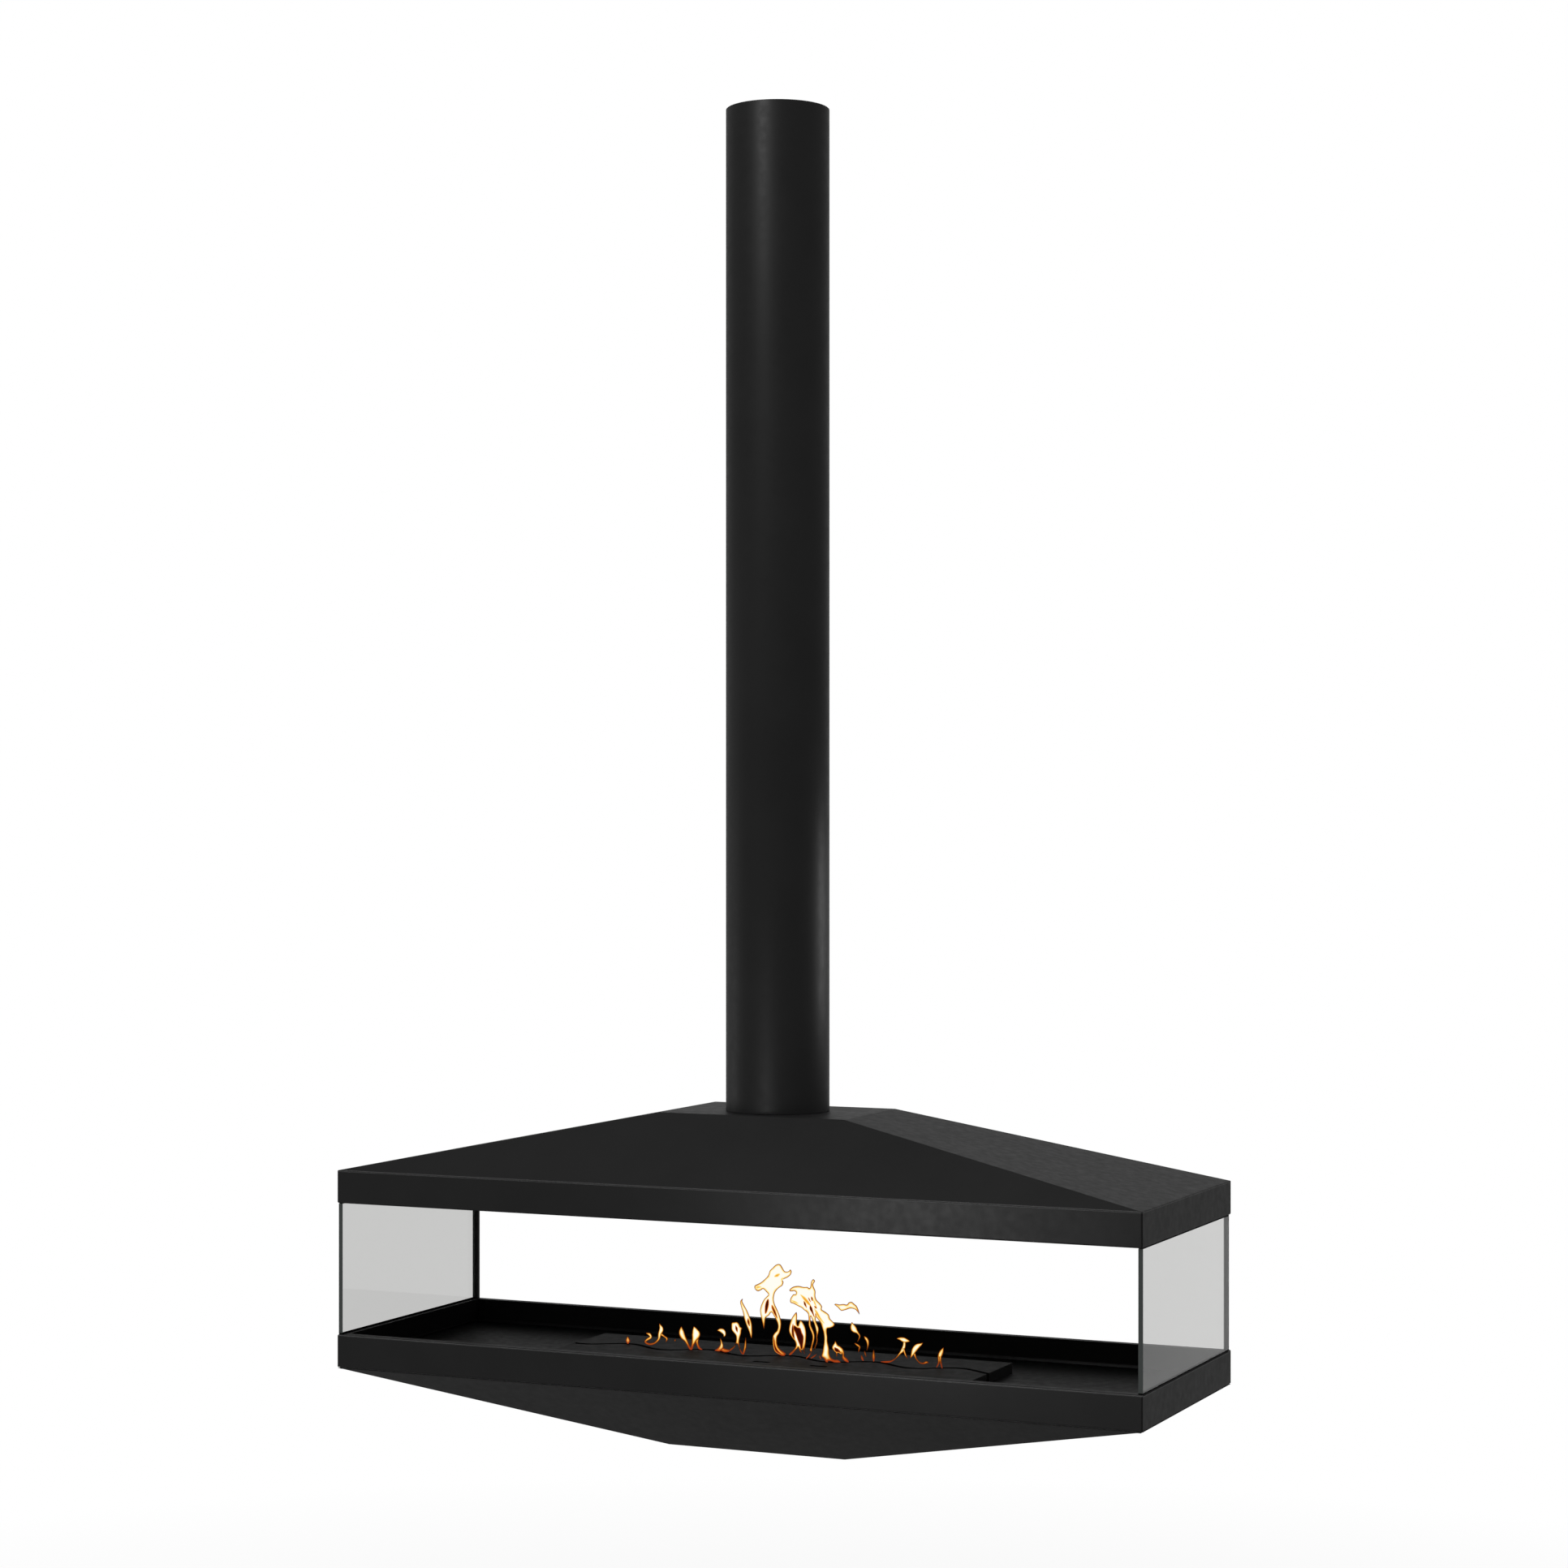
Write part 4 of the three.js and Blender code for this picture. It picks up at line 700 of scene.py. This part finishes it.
# Colour of the gas: size of its licks in mm and the share of the depth from which their noise counts up, the
# heights in mm below which it dims and reddens, and the red of its foot with its share at the slit
LICK_SIZE = 14.0
LICK_LEAST = 0.5
DIM_HEIGHT = 30.0
RED_HEIGHT = 12.0
FOOT_RED = "#b8431c"
FOOT_SHARE = 0.7


def flame_gas(name, stops, low=1.0):
    """Burning gas coloured by the attribute "edge", which is the depth in mm in from the flame's outline.

    stops are (depth, colour). Below DIM_HEIGHT the depths count less, down to their share low at the slit,
    which keeps the colours there near to the outline's, and below RED_HEIGHT the gas turns red.
    """
    material = bpy.data.materials.new(name)
    tree = empty_tree(material)
    place = add(tree, "ShaderNodeTexCoord").outputs["Object"]
    height = add(tree, "ShaderNodeSeparateXYZ", {"Vector": place}).outputs["Z"]
    licks = add(tree, "ShaderNodeTexNoise", {"Vector": place, "Scale": 1 / (LICK_SIZE * MM), "Detail": 2.0})
    swing = add(tree, "ShaderNodeMath", {0: licks, 1: LICK_LEAST}, operation="ADD")
    edge = add(tree, "ShaderNodeAttribute", attribute_name="edge").outputs["Fac"]
    wavering = add(tree, "ShaderNodeMath", {0: edge, 1: swing}, operation="MULTIPLY")
    grown = add(tree, "ShaderNodeMapRange", {
        "Value": height, "From Min": BURNER_TOP * MM, "From Max": (BURNER_TOP + DIM_HEIGHT) * MM,
        "To Min": low, "To Max": 1.0})
    depth = add(tree, "ShaderNodeMath", {0: wavering, 1: grown}, operation="MULTIPLY")

    deepest = stops[-1][0]
    share = add(tree, "ShaderNodeMapRange", {"Value": depth, "From Max": deepest})
    ramp = add(tree, "ShaderNodeValToRGB", {"Fac": share})
    while len(ramp.color_ramp.elements) < len(stops):
        ramp.color_ramp.elements.new(0.5)
    for element, (position, colour) in zip(ramp.color_ramp.elements, stops):
        element.position = position / deepest
        element.color = linear(colour)

    foot = add(tree, "ShaderNodeMapRange", {
        "Value": height, "From Min": BURNER_TOP * MM, "From Max": (BURNER_TOP + RED_HEIGHT) * MM,
        "To Min": FOOT_SHARE, "To Max": 0.0})
    colour = add(tree, "ShaderNodeMix", {0: foot, COLOUR_A: ramp, COLOUR_B: linear(FOOT_RED)},
                 data_type="RGBA").outputs[COLOUR_MIXED]
    glow = add(tree, "ShaderNodeEmission", {"Color": colour, "Strength": 1.0})
    add(tree, "ShaderNodeOutputMaterial", {"Surface": glow})
    return material


def through(points, steps, closed=False):
    """Smooth curve through the points, with steps rows for each span.

    Over a span from b to c, between neighbours a and d: b + t (c - a) / 2 + t^2 (2a - 5b + 4c - d) / 2
    + t^3 (3b - a - 3c + d) / 2, with t from 0 to 1.
    """
    points = np.array(points, float)
    if closed:
        padded = np.vstack([points[-1:], points, points[:2]])
    else:
        padded = np.vstack([2 * points[0] - points[1], points, 2 * points[-1] - points[-2]])
    a, b, c, d = [padded[start:len(padded) - 3 + start, None] for start in range(4)]
    t = np.arange(steps)[:, None] / steps
    spans = (b + 0.5 * t * (c - a) + t ** 2 * (a - 2.5 * b + 2 * c - 0.5 * d)
             + t ** 3 * (1.5 * b - 0.5 * a - 1.5 * c + 0.5 * d))
    curve = spans.reshape(-1, points.shape[1])
    return curve if closed else np.vstack([curve, points[-1:]])


def ribbon_flame(name, ribbon, material, layer, thickest):
    """One ribbon of flame as a thin sheet over the slit.

    Its spine is the curve through the table's points. Round each place on it runs an ellipse, half * cos a
    across the spine and thick * sin a in Y, where thick is THICKNESS_SHARE of half, and thickest at most.
    Y follows the slit's wave plus layer, so the loose burner plates lift past it on either side.
    """
    x, y, half = np.array(ribbon, float).T
    place = on_slit(x, y)
    height = np.maximum(place[:, 2] - BURNER_TOP, FLAME_FOOT)
    spine = np.column_stack([place[:, 0], height, half * pixel_length(x, y)])
    rows = through(spine, FLAME_STEPS)
    x = rows[:, 0]
    height = rows[:, 1]
    half = np.maximum(rows[:, 2], THINNEST_HALF)
    along = np.gradient(rows[:, :2], axis=0)
    along /= np.linalg.norm(along, axis=1, keepdims=True)
    across = np.stack([along[:, 1], -along[:, 0]], axis=1)
    turn = np.arange(FLAME_SIDES) / FLAME_SIDES * 2 * np.pi
    wide = x[:, None] + across[:, :1] * half[:, None] * np.cos(turn)
    high = height[:, None] + across[:, 1:] * half[:, None] * np.cos(turn)
    thick = np.minimum(thickest, half * THICKNESS_SHARE)
    deep = slit_wave(wide) + layer + thick[:, None] * np.sin(turn)
    points = np.stack([wide, deep, np.maximum(high, FLAME_FOOT) + BURNER_TOP], axis=-1)
    depth = half[:, None] * (1 - np.abs(np.cos(turn)))
    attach(grid_object(name, points, material, depths=depth), "fireplace")


def inside(points, rim):
    """True for each point inside the closed rim.

    That is where the line from the point to its right crosses the rim an odd number of times.
    """
    x, y = points.T[:, :, None]
    ax, ay = rim.T
    bx, by = np.roll(rim, -1, axis=0).T
    rise = np.where(ay == by, 1, by - ay)
    crosses = ((ay > y) != (by > y)) & (x < ax + (y - ay) * (bx - ax) / rise)
    return crosses.sum(axis=1) % 2 == 1


def distance(points, rim):
    """Shortest distance from each point to the closed rim, by the nearest place on each of its steps."""
    way = np.roll(rim, -1, axis=0) - rim
    apart = points[:, None] - rim
    share = np.clip((apart * way).sum(axis=2) / (way ** 2).sum(axis=1), 0, 1)
    return np.linalg.norm(apart - share[..., None] * way, axis=2).min(axis=1)


def outline_flame(name, outline, material, layer, thickest):
    """A flame as an outline that is filled and swollen to a thin lens over the slit.

    Points FILL_STEP apart fill the outline's curve, and triangles join them to it and to each other. Half
    thickness is thickest * sqrt(1 - (1 - d / FULL_DEPTH) ** 2) for a depth d up to FULL_DEPTH in from the
    outline, so front and back meet in a sharp edge. Y follows the slit's wave plus layer.
    """
    rim = through(outline, OUTLINE_STEPS, closed=True)
    low = rim.min(axis=0) + FILL_STEP / 2
    high = rim.max(axis=0)
    columns = np.arange(low[0], high[0], FILL_STEP)
    rows = np.arange(low[1], high[1], FILL_STEP)
    fill = np.stack(np.meshgrid(columns, rows), axis=-1).reshape(-1, 2)
    fill = fill[inside(fill, rim)]
    fill = fill[distance(fill, rim) > FILL_STEP / 2]
    corners = [Vector(point) for point in np.vstack([rim, fill])]
    edges = [(step, (step + 1) % len(rim)) for step in range(len(rim))]
    corners, _, faces, *_ = delaunay_2d_cdt(corners, edges, [], 0, WELD_DISTANCE)
    flat = np.array([tuple(point) for point in corners])
    faces = np.array(faces)
    faces = faces[inside(flat[faces].mean(axis=1), rim)]
    used = np.unique(faces)
    flat = flat[used]
    faces = np.searchsorted(used, faces)

    depth = distance(flat, rim) * pixel_length(*flat.mean(axis=0))
    depth[depth < SHARED_DEPTH] = 0
    swell = thickest * np.sqrt(1 - (1 - np.minimum(depth / FULL_DEPTH, 1)) ** 2)
    places = on_slit(*flat.T)
    places[:, 1] += layer
    places[:, 2] = np.maximum(places[:, 2], BURNER_TOP + FLAME_FOOT)
    sheets = [places + side * swell[:, None] * [0, 1, 0] for side in (-1, 1)]
    behind = np.arange(len(flat)) + np.where(depth > 0, len(flat), 0)
    both = [*faces.tolist(), *behind[faces[:, ::-1]].tolist()]
    made = mesh_object(name, np.vstack(sheets), both, material, np.concatenate([depth, depth]))
    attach(made, "fireplace")


# Hot gas: pale yellow inside, with an orange to brown rim where it meets the air
FLAME = flame_gas("flame", [
    (0, "#2c1507"), (0.7, "#8f420f"), (1.2, "#f0982f"), (1.8, "#ffd870"), (2.6, "#fff3b8"),
    (4.0, "#fffdf2")], low=0.35)
# Sooty gas that glows golden, and gas that is cooler still, from orange to a dark red middle
GOLD = flame_gas("flame_gold", [(0, "#fff4bf"), (1.0, "#ffdc78"), (2.4, "#f3a32a")])
STREAK = flame_gas("flame_streak", [(0, "#ffc85e"), (0.5, "#ee9a2c"), (1.1, "#a8380d"), (2.0, "#3a0b05")])
for index, ribbon in enumerate(RIBBONS):
    layer = (index % SHEETS - (SHEETS - 1) / 2) * SHEET_STEP
    ribbon_flame(f"flame_{index + 1}", ribbon, FLAME, layer, SHEET_HALF)
for index, outline in enumerate(OUTLINES):
    outline_flame(f"large_flame_{index + 1}", outline, FLAME, 0, SHEET_HALF)
for index, ribbon in enumerate(GOLDEN):
    ribbon_flame(f"flame_gold_{index + 1}", ribbon, GOLD, GOLDEN_LAYER, STREAK_HALF)
for index, ribbon in enumerate(STREAKS):
    ribbon_flame(f"flame_streak_{index + 1}", ribbon, STREAK, STREAK_LAYER, STREAK_HALF)
for index, outline in enumerate(DARK_HEARTS):
    outline_flame(f"flame_heart_{index + 1}", outline, STREAK, STREAK_LAYER, STREAK_HALF)


# Studio: white backdrop, soft light from all round, three soft lamps, and three that only make highlights
scene = bpy.context.scene
scene.view_settings.view_transform = "Standard"
FILL_LIGHT = 0.85
FLOOR_WHITE_SHARE = 0.6

# Studio lengths in metres: the floor, the ring in which it fades to white, and two places on the tube's axis
FLOOR_LEVEL = -3.2
FLOOR_HALF = 12.0
FLOOR_FADE_START = 1.2
FLOOR_FADE_END = 4.0
TUBE_HIGH = (0, 0, -0.35)
TUBE_LOW = (0, 0, -1.7)


def seen_share(tree):
    """1 for camera, glossy and transmission rays, 0 for the others."""
    path = add(tree, "ShaderNodeLightPath").outputs
    first = add(tree, "ShaderNodeMath", {
        0: path["Is Camera Ray"], 1: path["Is Glossy Ray"]}, operation="MAXIMUM")
    return add(tree, "ShaderNodeMath", {0: first, 1: path["Is Transmission Ray"]}, operation="MAXIMUM")


def backdrop():
    """A world that is white where it is seen, and a softer grey as a light."""
    world = bpy.data.worlds.new("studio")
    tree = empty_tree(world)
    strength = add(tree, "ShaderNodeMapRange", {
        "Value": seen_share(tree), "To Min": FILL_LIGHT, "To Max": 1.0})
    sky = add(tree, "ShaderNodeBackground", {"Color": linear("#ffffff"), "Strength": strength})
    add(tree, "ShaderNodeOutputWorld", {"Surface": sky})
    scene.world = world


def studio_floor():
    """Matt painted floor: it keeps the shadow near the object and runs out into the white backdrop."""
    material = bpy.data.materials.new("pale_floor")
    tree = empty_tree(material)
    place = add(tree, "ShaderNodeTexCoord").outputs["Object"]
    flat = add(tree, "ShaderNodeVectorMath", {0: place, 1: (1, 1, 0)}, operation="MULTIPLY")
    away = add(tree, "ShaderNodeVectorMath", {0: flat}, operation="LENGTH").outputs["Value"]
    fade = add(tree, "ShaderNodeMapRange", {
        "Value": away, "From Min": FLOOR_FADE_START, "From Max": FLOOR_FADE_END,
        "To Min": FLOOR_WHITE_SHARE, "To Max": 1.0})
    share = add(tree, "ShaderNodeMath", {0: fade, 1: seen_share(tree)}, operation="MULTIPLY")
    plain = add(tree, "ShaderNodeBsdfDiffuse", {"Color": linear("#e4e4e4")})
    white = add(tree, "ShaderNodeEmission", {"Color": linear("#ffffff"), "Strength": 1.0})
    mixed = add(tree, "ShaderNodeMixShader", {0: share, 1: plain, 2: white})
    add(tree, "ShaderNodeOutputMaterial", {"Surface": mixed})
    corners = np.array([(-1, -1, 0), (1, -1, 0), (1, 1, 0), (-1, 1, 0)])
    vertices = (corners * FLOOR_HALF + FLOOR_LEVEL * UPWARD) / MM
    made = mesh_object("floor", vertices, [(0, 1, 2, 3)], material)


def lamp(name, place, target, size, watts, spread=180, highlight_only=False):
    """A rectangular soft lamp at place that faces its target. place, target and size are in metres.

    spread is in degrees. A highlight_only lamp shows in reflections and adds no fill light.
    """
    light = bpy.data.lights.new(name, "AREA")
    light.shape = "RECTANGLE"
    light.size, light.size_y = size
    light.energy = watts
    light.spread = math.radians(spread)
    made = bpy.data.objects.new(name, light)
    made.location = place
    made.visible_camera = False
    made.visible_transmission = False
    made.visible_diffuse = not highlight_only
    made.rotation_euler = (Vector(target) - Vector(place)).to_track_quat("-Z", "Y").to_euler()
    scene.collection.objects.link(made)


backdrop()
studio_floor()
lamp("front_softbox", (-1.6, -4.0, -1.1), (0, 0, -1.5), (1.5, 1.5), 20)
lamp("top_softbox", (0.6, -1.6, 1.2), (0, 0, -1.8), (2.0, 1.4), 10)
lamp("left_softbox", (-3.5, -0.4, -2.0), TUBE_LOW, (1.4, 0.8), 34)
lamp("right_rim_light", (0.46, 0.386, -1.45), (0, 0, -1.45), (0.15, 0.35), 0.8,
     spread=70, highlight_only=True)
lamp("band_highlight", (-0.02, -1.2, -1.95), (0.36, -0.25, -1.9), (0.25, 0.25), 7,
     spread=70, highlight_only=True)
lamp("tube_highlight", (-0.23, -1.58, 0.5), TUBE_HIGH, (0.2, 0.3), 145, highlight_only=True)

camera_data = bpy.data.cameras.new("camera")
camera_data.sensor_width = SENSOR
camera_data.lens = SENSOR * FOCAL / PHOTO
camera_data.shift_x = (PHOTO / 2 - PRINCIPAL[0]) / PHOTO
camera_data.shift_y = (PRINCIPAL[1] - PHOTO / 2) / PHOTO
camera = bpy.data.objects.new("camera", camera_data)
camera.location = CAMERA_PLACE
camera.rotation_euler = (math.radians(90), 0, math.radians(CAMERA_TURN))
scene.collection.objects.link(camera)
scene.camera = camera
